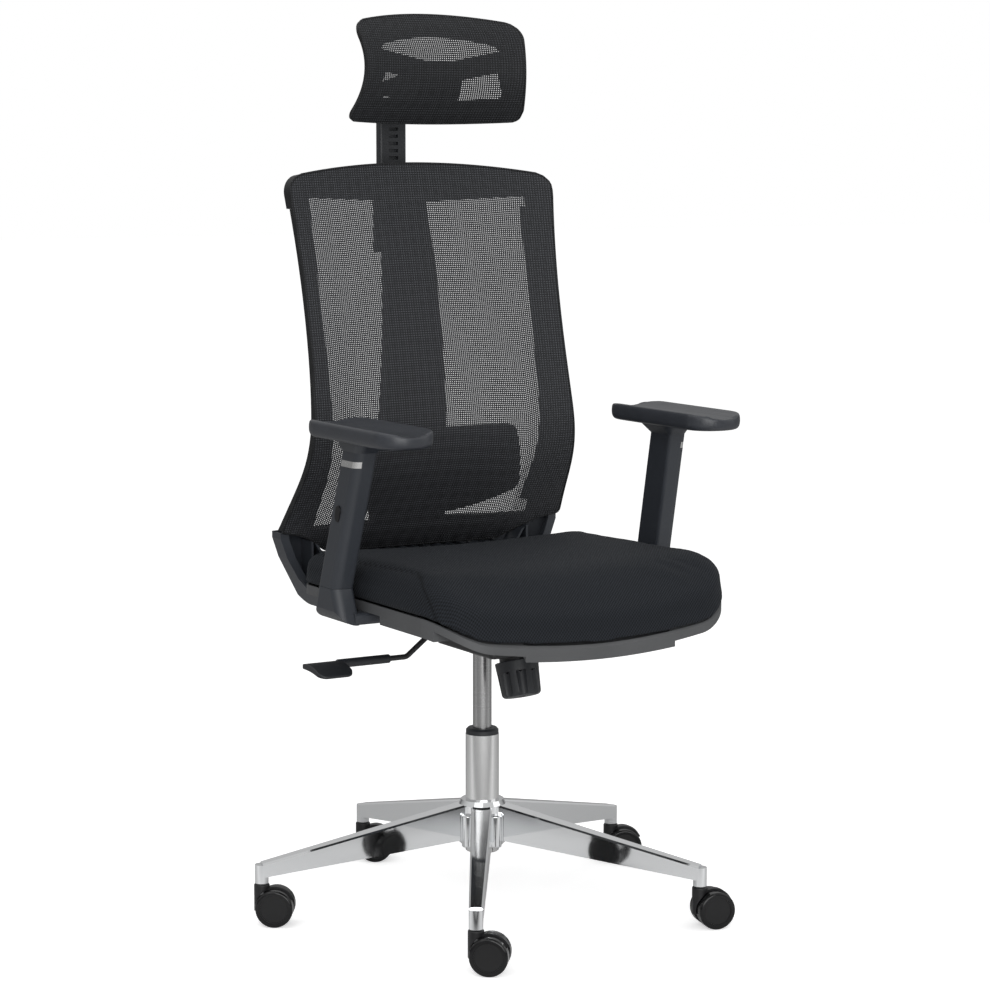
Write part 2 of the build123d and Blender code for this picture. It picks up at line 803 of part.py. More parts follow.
def plate_bolt_spots():
    inset = 14
    return [
        (x, y)
        for x in (-plate_half_width + inset, plate_half_width - inset)
        for y in (plate_front_y + inset, plate_rear_y - inset)
    ]


def arm_bolt_rows():
    return (arm_bracket_mid_y - arm_bracket_depth / 4, arm_bracket_mid_y + arm_bracket_depth / 4)


def tongue_bolt_spots():
    return [(x, tongue_front_y + 20) for x in (-70, 70)]


def bolt(x, y, seat_z, top_z):
    head = upright(Pos(x, y) * RegularPolygon(bolt_head, 6), seat_z - bolt_head_height, seat_z - fixed_gap)
    return head + upright(Pos(x, y) * Circle(bolt_shank), seat_z - 1, top_z)


def assembly_bolts():
    bolts = [bolt(x, y, plate_bottom_z, rim_z - 4) for x, y in plate_bolt_spots()]
    arm_low = rim_z - pan_side_depth - arm_bracket_thick
    for side in (1, -1):
        bolts += [bolt(side * arm_bolt_x, y, arm_low, rim_z - 4) for y in arm_bolt_rows()]
    bolts += [bolt(x, y, bracket_bottom_z, rim_z - 4) for x, y in tongue_bolt_spots()]
    return Compound(bolts)


def seat_plate():
    plan = polygon(
        (-plate_half_width, plate_front_y), (plate_half_width, plate_front_y),
        (plate_half_width, plate_rear_y), (-plate_half_width, plate_rear_y),
    )
    plate = upright(fillet(plan.vertices(), 12), plate_bottom_z, plate_top_z - fixed_gap)
    inner = housing_half_width + free_gap
    ear_round = pivot_radius + 8
    ear = polygon(
        (pivot_y - ear_half_length, plate_top_z - 1), (pivot_y + ear_half_length, plate_top_z - 1),
        (pivot_y + ear_round, pivot_z), (pivot_y - ear_round, pivot_z),
    )
    ear += Pos(pivot_y, pivot_z) * Circle(ear_round)
    ear -= Pos(pivot_y, pivot_z) * Circle(pivot_radius + run_gap)
    for side in (1, -1):
        x = inner if side > 0 else -inner - plate_thick
        plate += Pos(x, 0, 0) * extrude(Plane.YZ * ear, plate_thick)
    for x, y in plate_bolt_spots():
        plate -= upright(Pos(x, y) * Circle(bolt_shank + slide_gap), 0, far)
    bolt_y = knob_centre_y + (plate_bottom_z - knob_centre_z) * math.tan(math.radians(knob_lean))
    slot = Pos(0, bolt_y) * Rectangle(30, 36)
    return plate - upright(fillet(slot.vertices(), 6), 0, far)


# Arms: drawn for the +X side
def arm_point(z):
    rise = z - arm_foot_z
    return arm_foot_x - arm_lean_in * rise, arm_foot_y - arm_lean_forward * rise


def post_outline(inset, grow_depth=0.0):
    """D shaped section: the outer half is rounded, the inner face is flat."""
    half_x = arm_post_width / 2 - inset
    half_y = arm_post_depth / 2 - inset + grow_depth
    outline = Rectangle(2 * half_x, 2 * half_y)
    by_x = outline.vertices().sort_by(Axis.X)
    outline = fillet(by_x[2:], max(13 - inset, 2))
    by_x = outline.vertices().sort_by(Axis.X)
    return fillet(by_x[:2], max(5 - inset, 1))


def post_run(inset, low, high):
    """Leaning length of the post section between two heights."""
    slices = []
    for z in (low, high):
        x, y = arm_point(z)
        slices.append(Pos(x, y, z) * post_outline(inset))
    return loft(slices, ruled=True)


def arm_bracket(side):
    """Elbow that comes out from under the seat and turns up into the arm post."""
    top = arm_foot_z
    high = rim_z - pan_side_depth - fixed_gap
    low = high - arm_bracket_thick
    outer = arm_foot_x + arm_post_width / 2
    inner = arm_foot_x - arm_post_width / 2
    mid_y = arm_bracket_mid_y
    grow = (arm_bracket_depth - arm_post_depth) / 2
    elbow = polygon(
        (arm_bracket_inner_x, low), (outer + 2, low), (outer + 2, top), (inner - 2, top),
        (inner - 2, high), (arm_bracket_inner_x, high),
    )
    corner = elbow.vertices().sort_by(lambda v: v.X - v.Y)[-1]
    elbow = fillet([corner], arm_elbow_radius)
    crook = elbow.vertices().sort_by(lambda v: abs(v.X - inner + 2) + abs(v.Y - high))[0]
    elbow = fillet([crook], 9)
    beam = Plane.YZ * Pos(mid_y, (low + high) / 2) * fillet(
        Rectangle(arm_bracket_depth, arm_bracket_thick).vertices(), 5
    )
    body = Pos(arm_bracket_inner_x, 0, 0) * extrude(beam, inner + 8 - arm_bracket_inner_x)
    rise = loft([
        Pos(arm_foot_x, mid_y, low) * post_outline(0, grow),
        Pos(arm_foot_x, arm_foot_y, top) * post_outline(0),
    ], ruled=True)
    body = (body + rise) & through(elbow)
    upright_inset = arm_wall + slide_gap
    body += post_run(upright_inset, top - 6, pad_bottom_z - 30)
    for k in range(arm_notch_count):
        z = button_z - 20 - arm_travel / arm_notch_count * k
        x, y = arm_point(z)
        body -= Pos(x + arm_post_width / 2 - upright_inset, y, z) * Box(5, 12, 6)
    for y in arm_bolt_rows():
        body -= upright(Pos(arm_bolt_x, y) * Circle(bolt_shank + slide_gap), 0, high + 1)
    return mirrored(body, side)


def inlay_region(grow):
    """Band round the outer part of the sleeve."""
    low = inlay_z - grow
    high = inlay_z + inlay_height + grow
    x, y = arm_point((low + high) / 2)
    return block(x + inlay_start - grow, far, -far, far, low, high)


def post_band(inset):
    """Length of the post section that spans the inlay."""
    return post_run(inset, inlay_z - 20, inlay_z + inlay_height + 20)


def button_outline(grow):
    slot = SlotCenterToCenter(button_height - button_width, button_width + 2 * grow)
    return Rot(0, 0, 90 + math.degrees(math.atan(arm_lean_forward))) * slot


def button_run(grow, inner, outer):
    x, y = arm_point(button_z)
    place = Plane((x, y, button_z), x_dir=(0, 1, 0), z_dir=(1, 0, 0))
    return Pos(inner, 0, 0) * extrude(place * button_outline(grow), outer - inner)


def arm_sleeve(side):
    low = arm_foot_z + free_gap / 2
    high = pad_bottom_z - fixed_gap
    sleeve = post_run(0, low, high)
    sleeve -= post_run(arm_wall, low - 5, high - 24)
    x, y = arm_point(high - flange_height)
    lower = Pos(x, y, high - flange_height) * post_outline(0.5)
    upper = Pos(pad_centre_x, y, high) * fillet(Rectangle(flange_width, flange_length).vertices(), 16)
    sleeve += loft([lower, upper], ruled=True)
    sleeve -= (post_band(-1) - post_band(inlay_depth)) & inlay_region(fixed_gap)
    sleeve -= button_run(slide_gap, -2, arm_post_width)
    return mirrored(sleeve, side)


def arm_inlay(side):
    ring = post_band(0.2) - post_band(inlay_depth - fixed_gap)
    return mirrored(ring & inlay_region(0), side)


def arm_button(side):
    face = arm_post_width / 2 + button_proud
    inner = arm_post_width / 2 - arm_wall + button_travel + free_gap / 2
    button = button_run(0, inner, face)
    button = fillet(button.edges().group_by(Axis.X)[-1], 1)
    return mirrored(button, side)


def arm_pad(side):
    plan = fillet(Rectangle(pad_width, pad_length).vertices(), pad_corner)
    pad = upright(plan, 0, pad_thick)
    pad = fillet(pad.edges().group_by(Axis.Z)[-1], pad_edge_round)
    pad = fillet(pad.edges().group_by(Axis.Z)[0], pad_edge_round * 0.75)
    half = pad_width / 2 - pad_edge_round
    dish_radius = (half ** 2 + pad_dish ** 2) / (2 * pad_dish)
    groove = Rot(90, 0, 0) * Cylinder(dish_radius, 2 * far)
    pad -= Pos(0, 0, pad_thick - pad_dish + dish_radius) * groove
    return mirrored(Pos(pad_centre_x, pad_centre_y, pad_bottom_z) * pad, side)


# Back
def side_front_y(z):
    """Front of the mesh along the side rails: two slopes joined by a lumbar bend."""
    run = z - back_bend_z
    mean = (back_upper_slope + back_lower_slope) / 2
    turn = (back_upper_slope - back_lower_slope) / 2
    return back_bend_y + mean * run + turn * (math.hypot(run, back_bend_round) - back_bend_round)


def back_dish(z):
    share = (z - back_low_z) / (back_top_z - back_low_z)
    return back_low_dish + share * (back_top_dish - back_low_dish)


def back_panel(offset, thick):
    low = back_low_z - 20
    high = back_top_z + 20
    steps = 15
    stations = []
    for k in range(steps + 1):
        z = low + (high - low) * k / steps
        half = back_kink_half_width + 20
        edge = (half / back_kink_half_width) ** 2
        dish = max(back_dish(z), 1)
        side_y = side_front_y(z) + offset - dish * (edge - 1)
        stations.append((z, half, side_y, dish * edge))
    return curved_panel(stations, thick)


def back_outline(inset):
    """Front view of the back: bowed top, waisted sides, lower edge dropping to a tongue."""
    top = back_top_half_width - inset
    waist = back_waist_half_width - inset
    kink = back_kink_half_width - inset
    hip = back_hip_half_width - inset
    tongue = back_tongue_half_width - inset
    shoulder = back_shoulder_z - inset
    foot_z = back_foot_z + inset
    hip_z = back_hip_z + inset
    low_z = back_low_z + inset
    face = make_face([
        ThreePointArc((-top, shoulder), (0, back_top_z - inset), (top, shoulder)),
        ThreePointArc((top, shoulder), (waist, back_waist_z), (kink, foot_z)),
        Polyline(
            (kink, foot_z), (hip, hip_z), (tongue, low_z), (-tongue, low_z), (-hip, hip_z), (-kink, foot_z),
        ),
        ThreePointArc((-kink, foot_z), (-waist, back_waist_z), (-top, shoulder)),
    ])
    face = fillet(face.vertices().sort_by(Axis.Y)[-2:], back_corner)
    return fillet(face.vertices().sort_by(Axis.Y)[:4], back_low_round)


def back_window(grow):
    """Opening inside the frame, with its upper edge lowest in the middle."""
    top = window_top_half_width + grow
    low = window_low_half_width + grow
    high_z = window_top_z + grow
    low_z = window_low_z - grow
    face = polygon(
        (0, high_z), (top, high_z + window_top_rise), (low, low_z - window_low_fall),
        (0, low_z), (-low, low_z - window_low_fall), (-top, high_z + window_top_rise),
    )
    corners = [v for v in face.vertices() if abs(v.X) > 1]
    return fillet(corners, window_corner)


def back_mesh():
    return back_panel(0, mesh_thick) & through(back_outline(0))


def back_ring(thick):
    ring = back_outline(2) - back_window(0)
    return back_panel(mesh_thick + fixed_gap, thick) & through(ring)


def side_lip():
    """Deep lip along the inner edge of the side rails."""
    band = back_window(lip_width) - back_window(0)
    return back_panel(mesh_thick + fixed_gap, lip_depth) & through(band)


def back_rails():
    """Four mouldings of the ring, met at level joints. The top one is deeper."""
    gap = fixed_gap / 2
    ring = back_ring(rail_thick)
    top = back_ring(rail_top_thick) & block(-far, far, -far, far, rail_mitre_top_z + gap, 2 * far)
    low = ring & block(-far, far, -far, far, 0, rail_mitre_low_z - gap)
    band = (ring + side_lip()) & block(0, far, -far, far, rail_mitre_low_z + gap, rail_mitre_top_z - gap)
    return top, low, band, mirror(band, Plane.YZ)


def spine_side(rear_in):
    """Side view of the spine between its front and rear arcs."""
    shift = spine_depth
    front = ThreePointArc((spine_low_y, spine_foot_z), (spine_mid_y, spine_mid_z), (spine_top_y, back_top_z))
    face = make_face([
        front,
        Line((spine_top_y, back_top_z), (spine_top_y + shift - rear_in, back_top_z)),
        ThreePointArc(
            (spine_top_y + shift - rear_in, back_top_z), (spine_mid_y + shift - rear_in, spine_mid_z),
            (spine_low_y + shift - rear_in, spine_foot_z),
        ),
        Line((spine_low_y + shift - rear_in, spine_foot_z), (spine_low_y, spine_foot_z)),
    ])
    return face


def spine_front(inset):
    low = spine_low_half_width - inset
    top = spine_top_half_width - inset
    high = back_top_z - 8 - inset
    foot = spine_foot_z + inset
    return polygon((-low, foot), (low, foot), (top, high), (-top, high))


def post_socket(grow, low, high):
    half_x = post_width / 2 + grow
    half_y = post_thick / 2 + grow
    return block(-half_x, half_x, post_y - half_y, post_y + half_y, low, high)


def back_spine():
    """Channel shaped upright with cross ribs, its head carrying the headrest socket."""
    body = across(spine_side(0), far) & through(spine_front(0))
    hollow = across(spine_side(spine_skin), far) & through(spine_front(spine_skin))
    ribs = []
    rib_count = 7
    rib_pitch = (back_top_z - spine_foot_z) / rib_count
    for k in range(1, rib_count):
        z = spine_foot_z + rib_pitch * k
        ribs.append(block(-far, far, -far, far, z - spine_skin / 3, z + spine_skin / 3))
    for rib in ribs:
        hollow -= rib
    body -= hollow
    head_low = back_top_z - 52
    head_high = back_top_z - 6
    rail_rear = side_front_y(head_high) + back_dish(head_high) + mesh_thick + rail_top_thick + 3 * fixed_gap
    rear = post_y + post_thick / 2 + post_wall
    head = block(-spine_top_half_width, spine_top_half_width, rail_rear, rear, head_low, head_high)
    head = fillet(head.edges().filter_by(Axis.Z), 8)
    sleeve = post_socket(post_wall, post_bottom_z - post_drop - 14, head_high)
    sleeve = fillet(sleeve.edges().filter_by(Axis.Z), 2 * post_wall)
    body += head
    body += sleeve
    body -= post_socket(slide_gap, post_bottom_z - post_drop - 8, far * 2)
    return body


def lumbar_pad():
    """Bowl shaped pad that follows the mesh, on a stalk that grips the spine."""
    high = lumbar_bottom_z + lumbar_height
    stations = []
    steps = 6
    for k in range(steps + 1):
        z = lumbar_bottom_z - 10 + (lumbar_height + 20) * k / steps
        half = lumbar_half_width + 10
        dish = back_dish(z) * (half / back_kink_half_width) ** 2
        front = side_front_y(z) + back_dish(z) - dish + mesh_thick + lumbar_gap
        stations.append((z, half, front, max(dish, 1)))
    top = lumbar_top_half_width
    corner_z = lumbar_bottom_z + lumbar_corner_rise
    outline = make_face([
        Polyline((-lumbar_half_width, corner_z), (-top, high), (top, high), (lumbar_half_width, corner_z)),
        ThreePointArc((lumbar_half_width, corner_z), (0, lumbar_bottom_z), (-lumbar_half_width, corner_z)),
    ])
    outline = fillet(outline.vertices(), 14)
    pad = curved_panel(stations, lumbar_thick) & through(outline)
    stalk_z = lumbar_bottom_z + 0.55 * lumbar_height
    stalk_front = side_front_y(stalk_z) + back_dish(stalk_z) + mesh_thick + lumbar_gap + 5
    stalk = block(-30, 30, stalk_front, spine_front_y(stalk_z) - slide_gap - 1, stalk_z - 16, stalk_z + 16)
    return pad + fillet(stalk.edges().filter_by(Axis.Y), 8)


def spine_front_y(z):
    """Foremost point of the spine over the lumbar travel."""
    arc = ThreePointArc((spine_low_y, spine_foot_z), (spine_mid_y, spine_mid_z), (spine_top_y, back_top_z))
    high = z + lumbar_travel + 20
    samples = [arc @ (k / 40) for k in range(41)]
    return min([p.X for p in samples if z - 20 <= p.Y <= high] + [spine_low_y])


# Lower bracket, a ribbed moulding that turns forward under the seat
def bracket_side(skin):
    """Side view: an upright wall that bends forward into the tongue."""
    rear = bracket_rear_y - skin
    low = bracket_bottom_z + skin
    top = spine_foot_z - fixed_gap
    outer = FilletPolyline((rear, top), (rear, low), (tongue_front_y, low), radius=bracket_bend - skin)
    if skin > 0:
        inside = Polyline((tongue_front_y, low), (tongue_front_y, top), (rear, top))
    else:
        shelf = plate_top_z - fixed_gap
        front = bracket_side_y - bracket_depth
        inside = Polyline(
            (tongue_front_y, low), (tongue_front_y, shelf), (front - 20, shelf),
            (front, shelf + 20), (front, top), (rear, top),
        )
    return make_face([outer, inside])


def bracket_front(inset):
    """Front view: a wall that narrows downward, rising to the spine in the middle."""
    kink = back_kink_half_width - 2 - inset
    low = bracket_low_half_width - inset
    mid = bracket_mid_half_width - inset
    head = spine_low_half_width - inset
    lift = far if inset else 0
    return polygon(
        (-low, bracket_bottom_z - 1), (low, bracket_bottom_z - 1),
        (mid, back_kink_z - 30), (kink, back_kink_z),
        (kink, back_foot_z - 1 + lift), (head, spine_foot_z + lift),
        (-head, spine_foot_z + lift), (-kink, back_foot_z - 1 + lift),
        (-kink, back_kink_z), (-mid, back_kink_z - 30),
    )


def bracket_plan(inset):
    """Plan: a tongue that widens into a wall bowed to the rear."""
    side = bracket_side_y - inset
    rear = bracket_rear_y - inset
    half = back_kink_half_width + 10
    tongue = tongue_half_width - inset
    front = tongue_front_y - (1 if inset else 0)
    return make_face([
        ThreePointArc((-half, side), (0, rear), (half, side)),
        Line((half, side), (half, side - 40)),
        Line((half, side - 40), (tongue, front)),
        Line((tongue, front), (-tongue, front)),
        Line((-tongue, front), (-half, side - 40)),
        Line((-half, side - 40), (-half, side)),
    ])


def rail_room():
    """Space left free in front of the wall for the bottom rail."""
    depth = mesh_thick + rail_thick * math.hypot(1, back_lower_slope) + free_gap
    low = back_low_z - 2 * free_gap
    high = spine_foot_z + free_gap
    edge = [(side_front_y(z) + back_dish(z) + depth, z) for z in (low, back_kink_z, high)]
    face = polygon((0, low), *edge, (0, high))
    return across(face, far) & through(back_outline(-free_gap))


def bracket_ribs():
    """Front view of the upright ribs with a crossed pair in every bay."""
    pitch = 2 * bracket_low_half_width / bracket_bays
    height = back_kink_z - bracket_bottom_z
    lean = math.degrees(math.atan2(pitch, height))
    mid_z = (back_kink_z + bracket_bottom_z) / 2
    ribs = Sketch()
    for k in range(bracket_bays + 1):
        x = pitch * (k - bracket_bays / 2)
        ribs += Pos(x, mid_z) * Rectangle(bracket_rib, 2 * height)
    for k in range(bracket_bays):
        x = pitch * (k + 0.5 - bracket_bays / 2)
        for way in (lean, -lean):
            ribs += Pos(x, mid_z) * Rot(0, 0, way) * Rectangle(bracket_rib, 2 * height)
    return ribs


def back_bracket():
    """Open shell with crossed ribs between the side walls, screwed to the rails and seat."""
    solid = across(bracket_side(0), far) & through(bracket_front(0)) & upright(bracket_plan(0), 0, 2 * far)
    solid -= rail_room()
    cavity = across(bracket_side(bracket_skin), far) & through(bracket_front(bracket_skin))
    cavity &= upright(bracket_plan(bracket_skin), 0, 2 * far)
    for x, y in tongue_bolt_spots():
        cavity -= upright(Pos(x, y) * Circle(bolt_boss_radius), 0, far)
    front = bracket_side_y - bracket_depth
    rim = block(-far, far, front, front + bracket_skin, plate_top_z, far)
    rim &= through(bracket_front(0) - bracket_front(bracket_rim))
    shell = solid - (cavity - through(bracket_ribs()) - rim)
    for x, y in tongue_bolt_spots():
        shell -= upright(Pos(x, y) * Circle(bolt_shank + slide_gap), 0, far)
    return shell


# Headrest
def head_centre_y(z):
    """Front of the headrest mesh on the centre line: bulged forward at mid height."""
    mid = (head_bottom_z + head_top_z) / 2
    reach = (head_top_z - head_bottom_z) / 2
    return head_side_y + head_dish - head_bulge * (1 - ((z - mid) / reach) ** 2)


def head_panel(offset, thick):
    steps = 8
    half = head_bottom_half_width + 10
    edge = (half / head_bottom_half_width) ** 2
    stations = []
    for k in range(steps + 1):
        z = head_bottom_z - 8 + (head_top_z - head_bottom_z + 16) * k / steps
        side_y = head_centre_y(z) + offset - head_dish * edge
        stations.append((z, half, side_y, head_dish * edge))
    return curved_panel(stations, thick)


def head_outline(inset, corner):
    low = head_bottom_half_width - inset
    top = head_top_half_width - inset
    waist = head_waist_half_width - inset
    mid = (head_bottom_z + head_top_z) / 2
    low_z = head_bottom_z + head_bottom_bow + inset
    top_z = head_top_z - head_top_bow - inset
    face = make_face([
        ThreePointArc((-low, low_z), (0, head_bottom_z + inset), (low, low_z)),
        ThreePointArc((low, low_z), (waist, mid), (top, top_z)),
        ThreePointArc((top, top_z), (0, head_top_z - inset), (-top, top_z)),
        ThreePointArc((-top, top_z), (-waist, mid), (-low, low_z)),
    ])
    face = fillet(face.vertices().sort_by(Axis.Y)[-2:], corner * head_top_corner / head_corner)
    return fillet(face.vertices().sort_by(Axis.Y)[:2], corner)


def headrest_mesh():
    return head_panel(0, mesh_thick) & through(head_outline(0, head_corner))


def headrest_frame():
    """Curved frame with a Y shaped support behind the mesh and a hinge lug."""
    full = head_outline(1.5, head_corner)
    window = head_outline(head_rail, head_corner * 0.6)
    mid = (head_bottom_z + head_top_z) / 2
    stem = Pos(0, mid - head_stem_drop) * Rectangle(2 * head_stem_half_width, head_stem_length)
    arms = stem
    for side in (1, -1):
        arm = polygon(
            (0, mid - head_arm_width * 0.8), (side * head_bottom_half_width, mid + head_arm_width * 0.2),
            (side * head_bottom_half_width, mid + head_arm_width * 1.2), (0, mid + head_arm_width * 0.2),
        )
        arms += arm
    face = (full - window) + (arms & full)
    frame = head_panel(mesh_thick + fixed_gap, head_frame_thick) & through(face)
    barrel = head_barrel_radius
    lug_low = head_hinge_z - 28
    lug_high = head_hinge_z + 32
    inside = mesh_thick + head_frame_thick / 2
    side_view = polygon(
        (head_centre_y(lug_low) + inside, lug_low), (head_centre_y(lug_high) + inside, lug_high),
        (post_y, head_hinge_z + barrel), (post_y, head_hinge_z - barrel),
    )
    side_view += Pos(post_y, head_hinge_z) * Circle(barrel)
    lug = across(side_view, head_lug_half_width)
    frame += lug
    bore = Pos(0, post_y, head_hinge_z) * Rot(0, 90, 0) * Cylinder(head_hinge_radius + run_gap, far)
    return frame - bore


def headrest_post():
    """Flat post with a rack of ratchet slots and a fork that carries the hinge pin."""
    fork_low = head_hinge_z - head_barrel_radius - 12
    post = post_socket(0, post_bottom_z, fork_low)
    post = fillet(post.edges().filter_by(Axis.Z), 4)
    for k in range(post_slot_count):
        z = fork_low - 20 - post_slot_pitch * k
        half = post_slot_width / 2
        post -= block(-half, half, 0, post_y - post_thick / 2 + 6, z, z + post_slot_height)
    cheek_inner = head_lug_half_width + slide_gap
    cheek = make_face(Plane.XY * Polyline(
        (post_y - post_thick / 2, fork_low - 4), (post_y + post_thick / 2, fork_low - 4),
        (post_y + head_barrel_radius, head_hinge_z), (post_y - head_barrel_radius, head_hinge_z), close=True,
    ))
    cheek += Pos(post_y, head_hinge_z) * Circle(head_barrel_radius)
    for side in (1, -1):
        x = cheek_inner if side > 0 else -post_width / 2
        post += Pos(x, 0, 0) * extrude(Plane.YZ * cheek, post_width / 2 - cheek_inner)
    pin = Rot(0, 90, 0) * Cylinder(head_hinge_radius, post_width)
    return post + Pos(0, post_y, head_hinge_z) * pin


def build_nodes():
    nodes = {
        "base_star": base_star(),
        "column_tube": column_tube(),
        "column_bush": column_bush(),
        "piston_rod": piston_rod(),
        "gas_cylinder": gas_cylinder(),
        "valve_pin": valve_pin(),
        "mechanism_housing": mechanism_housing(),
        "tilt_shaft": tilt_shaft(),
        "torsion_sleeves": torsion_sleeves(),
        "tension_yoke": tension_yoke(),
        "tension_knob": tension_knob(),
        "tension_bolt": tension_bolt(),
        "tilt_lock_slider": tilt_lock_slider(),
        "lever_rod": lever_rod(),
        "lever_handle": lever_handle(),
        "seat_plate": seat_plate(),
        "seat_pan": seat_pan(),
        "seat_cushion": seat_cushion(),
        "assembly_bolts": assembly_bolts(),
        "back_mesh": back_mesh(),
        "back_spine": back_spine(),
        "back_bracket": back_bracket(),
        "lumbar_pad": lumbar_pad(),
        "headrest_post": headrest_post(),
        "headrest_frame": headrest_frame(),
        "headrest_mesh": headrest_mesh(),
    }
    rails = back_rails()
    for name, rail in zip(("top", "bottom", "left", "right"), rails):
        nodes["back_rail_" + name] = rail
    for name, side in (("left", 1), ("right", -1)):
        nodes["arm_bracket_" + name] = arm_bracket(side)
        nodes["arm_sleeve_" + name] = arm_sleeve(side)
        nodes["arm_pad_" + name] = arm_pad(side)
        nodes["arm_inlay_" + name] = arm_inlay(side)
        nodes["arm_button_" + name] = arm_button(side)
    for k in range(leg_count):
        place = castor_place(k)
        label = "caster_%d" % (k + 1)
        nodes[label + "_housing"] = place * castor_housing()
        nodes[label + "_pins"] = place * castor_pins()
        nodes[label + "_wheel_left"] = place * castor_wheel(1)
        nodes[label + "_wheel_right"] = place * castor_wheel(-1)
    return nodes


os.makedirs("parts", exist_ok=True)
for node_name, shape in build_nodes().items():
    export_step(shape, "parts/" + node_name + ".step")
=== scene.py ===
# %% [markdown]
# A swivel office chair, dressed for a studio picture. The hard parts come from the
# engineering model: star base, castors, gas column, mechanism, arms, frames. This file
# adds what a solid modeller leaves plain: padding, open knitted mesh, soft arm pads,
# finishes, light and the camera.

# %% Load the engineering model
import json
import math

import bpy
import numpy as np
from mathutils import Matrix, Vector
from mathutils.bvhtree import BVHTree


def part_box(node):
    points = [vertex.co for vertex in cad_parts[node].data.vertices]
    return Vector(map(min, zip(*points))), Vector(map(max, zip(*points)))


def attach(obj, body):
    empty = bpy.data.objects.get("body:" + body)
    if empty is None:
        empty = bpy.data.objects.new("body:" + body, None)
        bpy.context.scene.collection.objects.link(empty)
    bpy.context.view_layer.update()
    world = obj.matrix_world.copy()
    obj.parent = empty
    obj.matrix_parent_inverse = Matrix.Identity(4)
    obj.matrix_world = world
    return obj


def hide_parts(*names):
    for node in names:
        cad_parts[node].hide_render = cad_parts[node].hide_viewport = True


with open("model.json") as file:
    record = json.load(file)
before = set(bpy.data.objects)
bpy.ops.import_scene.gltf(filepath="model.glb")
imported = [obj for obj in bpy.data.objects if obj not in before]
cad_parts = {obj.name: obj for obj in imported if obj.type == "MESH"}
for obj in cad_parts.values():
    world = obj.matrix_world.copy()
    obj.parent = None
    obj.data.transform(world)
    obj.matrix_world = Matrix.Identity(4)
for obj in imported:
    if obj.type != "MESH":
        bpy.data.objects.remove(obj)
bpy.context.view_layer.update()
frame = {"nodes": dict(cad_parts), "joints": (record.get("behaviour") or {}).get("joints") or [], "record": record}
scene = bpy.context.scene

# %% [markdown]
# The camera stands to the sitter's right front, a little above the arms, with a long
# lens. Its small sideways shift puts the chair where it is in the photograph, left of
# the middle. A camera could also be turned for that, but a shift keeps uprights upright.

# %% Camera at the photograph's view
view_azimuth = math.radians(-30.13)
view_elevation = math.radians(7.12)
view_distance = 4.057
aim_height = 0.6229
to_camera = Vector((
    math.sin(view_azimuth) * math.cos(view_elevation),
    -math.cos(view_azimuth) * math.cos(view_elevation),
    math.sin(view_elevation),
))
camera = bpy.data.objects.new("camera", bpy.data.cameras.new("camera"))
scene.collection.objects.link(camera)
camera.location = Vector((0, 0, aim_height)) + to_camera * view_distance
camera.rotation_mode = "QUATERNION"
camera.rotation_quaternion = to_camera.to_track_quat("Z", "Y")
camera.data.sensor_width = 36
camera.data.lens = 100.0
camera.data.shift_x = 0.0129
scene.camera = camera
print("camera at", tuple(round(v, 3) for v in camera.location))

# %% [markdown]
# Operators work on whatever is selected, so these helpers first clear the selection.
# They are the few moves that every piece below shares.

# %% Helpers for operators
def pick(piece):
    """Make one object the only selected and active one."""
    bpy.ops.object.select_all(action="DESELECT")
    piece.select_set(True)
    bpy.context.view_layer.objects.active = piece


def edit(piece):
    pick(piece)
    bpy.ops.object.mode_set(mode="EDIT")
    bpy.ops.mesh.select_all(action="SELECT")


def done():
    bpy.ops.object.mode_set(mode="OBJECT")


def modify(piece, kind, **settings):
    """Add a modifier, set it and apply it."""
    pick(piece)
    modifier = piece.modifiers.new(kind.lower(), kind)
    for key, value in settings.items():
        setattr(modifier, key, value)
    bpy.ops.object.modifier_apply(modifier=modifier.name)


def copy_of(node, name):
    """A piece that starts as a merged copy of an engineering node."""
    piece = bpy.data.objects.new(name, frame["nodes"][node].data.copy())
    piece.data.materials.clear()
    scene.collection.objects.link(piece)
    edit(piece)
    bpy.ops.mesh.remove_doubles(threshold=1e-5)
    done()
    return piece


def points_of(piece):
    places = np.empty(3 * len(piece.data.vertices))
    piece.data.vertices.foreach_get("co", places)
    return places.reshape(-1, 3)


def put_points(piece, places):
    piece.data.vertices.foreach_set("co", np.ascontiguousarray(places).ravel())
    piece.data.update()


def smooth_shaded(piece, angle=40):
    pick(piece)
    bpy.ops.object.shade_smooth_by_angle(angle=math.radians(angle))


# %% [markdown]
# Finishes are node materials on Object coordinates, so a pattern stays in place when a
# part moves. One helper makes the shader, one adds nodes, and two add what nearly every
# finish has: a little uneven colour and a fine bump.

# %% Helpers for finishes
def node(tree, kind, **values):
    """A shader node with its settings and unlinked inputs given by name."""
    made = tree.nodes.new("ShaderNode" + kind)
    for key, value in values.items():
        socket = made.inputs.get(key.replace("_", " ").title())
        if socket is None:
            setattr(made, key, value)
        else:
            socket.default_value = value
    return made


def new_finish(name, colour, roughness, metallic=0.0, sheen=0.0, shine=0.5):
    finish = bpy.data.materials.new(name)
    finish.use_nodes = True
    finish.diffuse_color = (*colour, 1)
    shader = finish.node_tree.nodes["Principled BSDF"]
    shader.inputs["Base Color"].default_value = (*colour, 1)
    shader.inputs["Roughness"].default_value = roughness
    shader.inputs["Metallic"].default_value = metallic
    shader.inputs["Sheen Weight"].default_value = sheen
    shader.inputs["Specular IOR Level"].default_value = shine
    return finish, finish.node_tree, shader


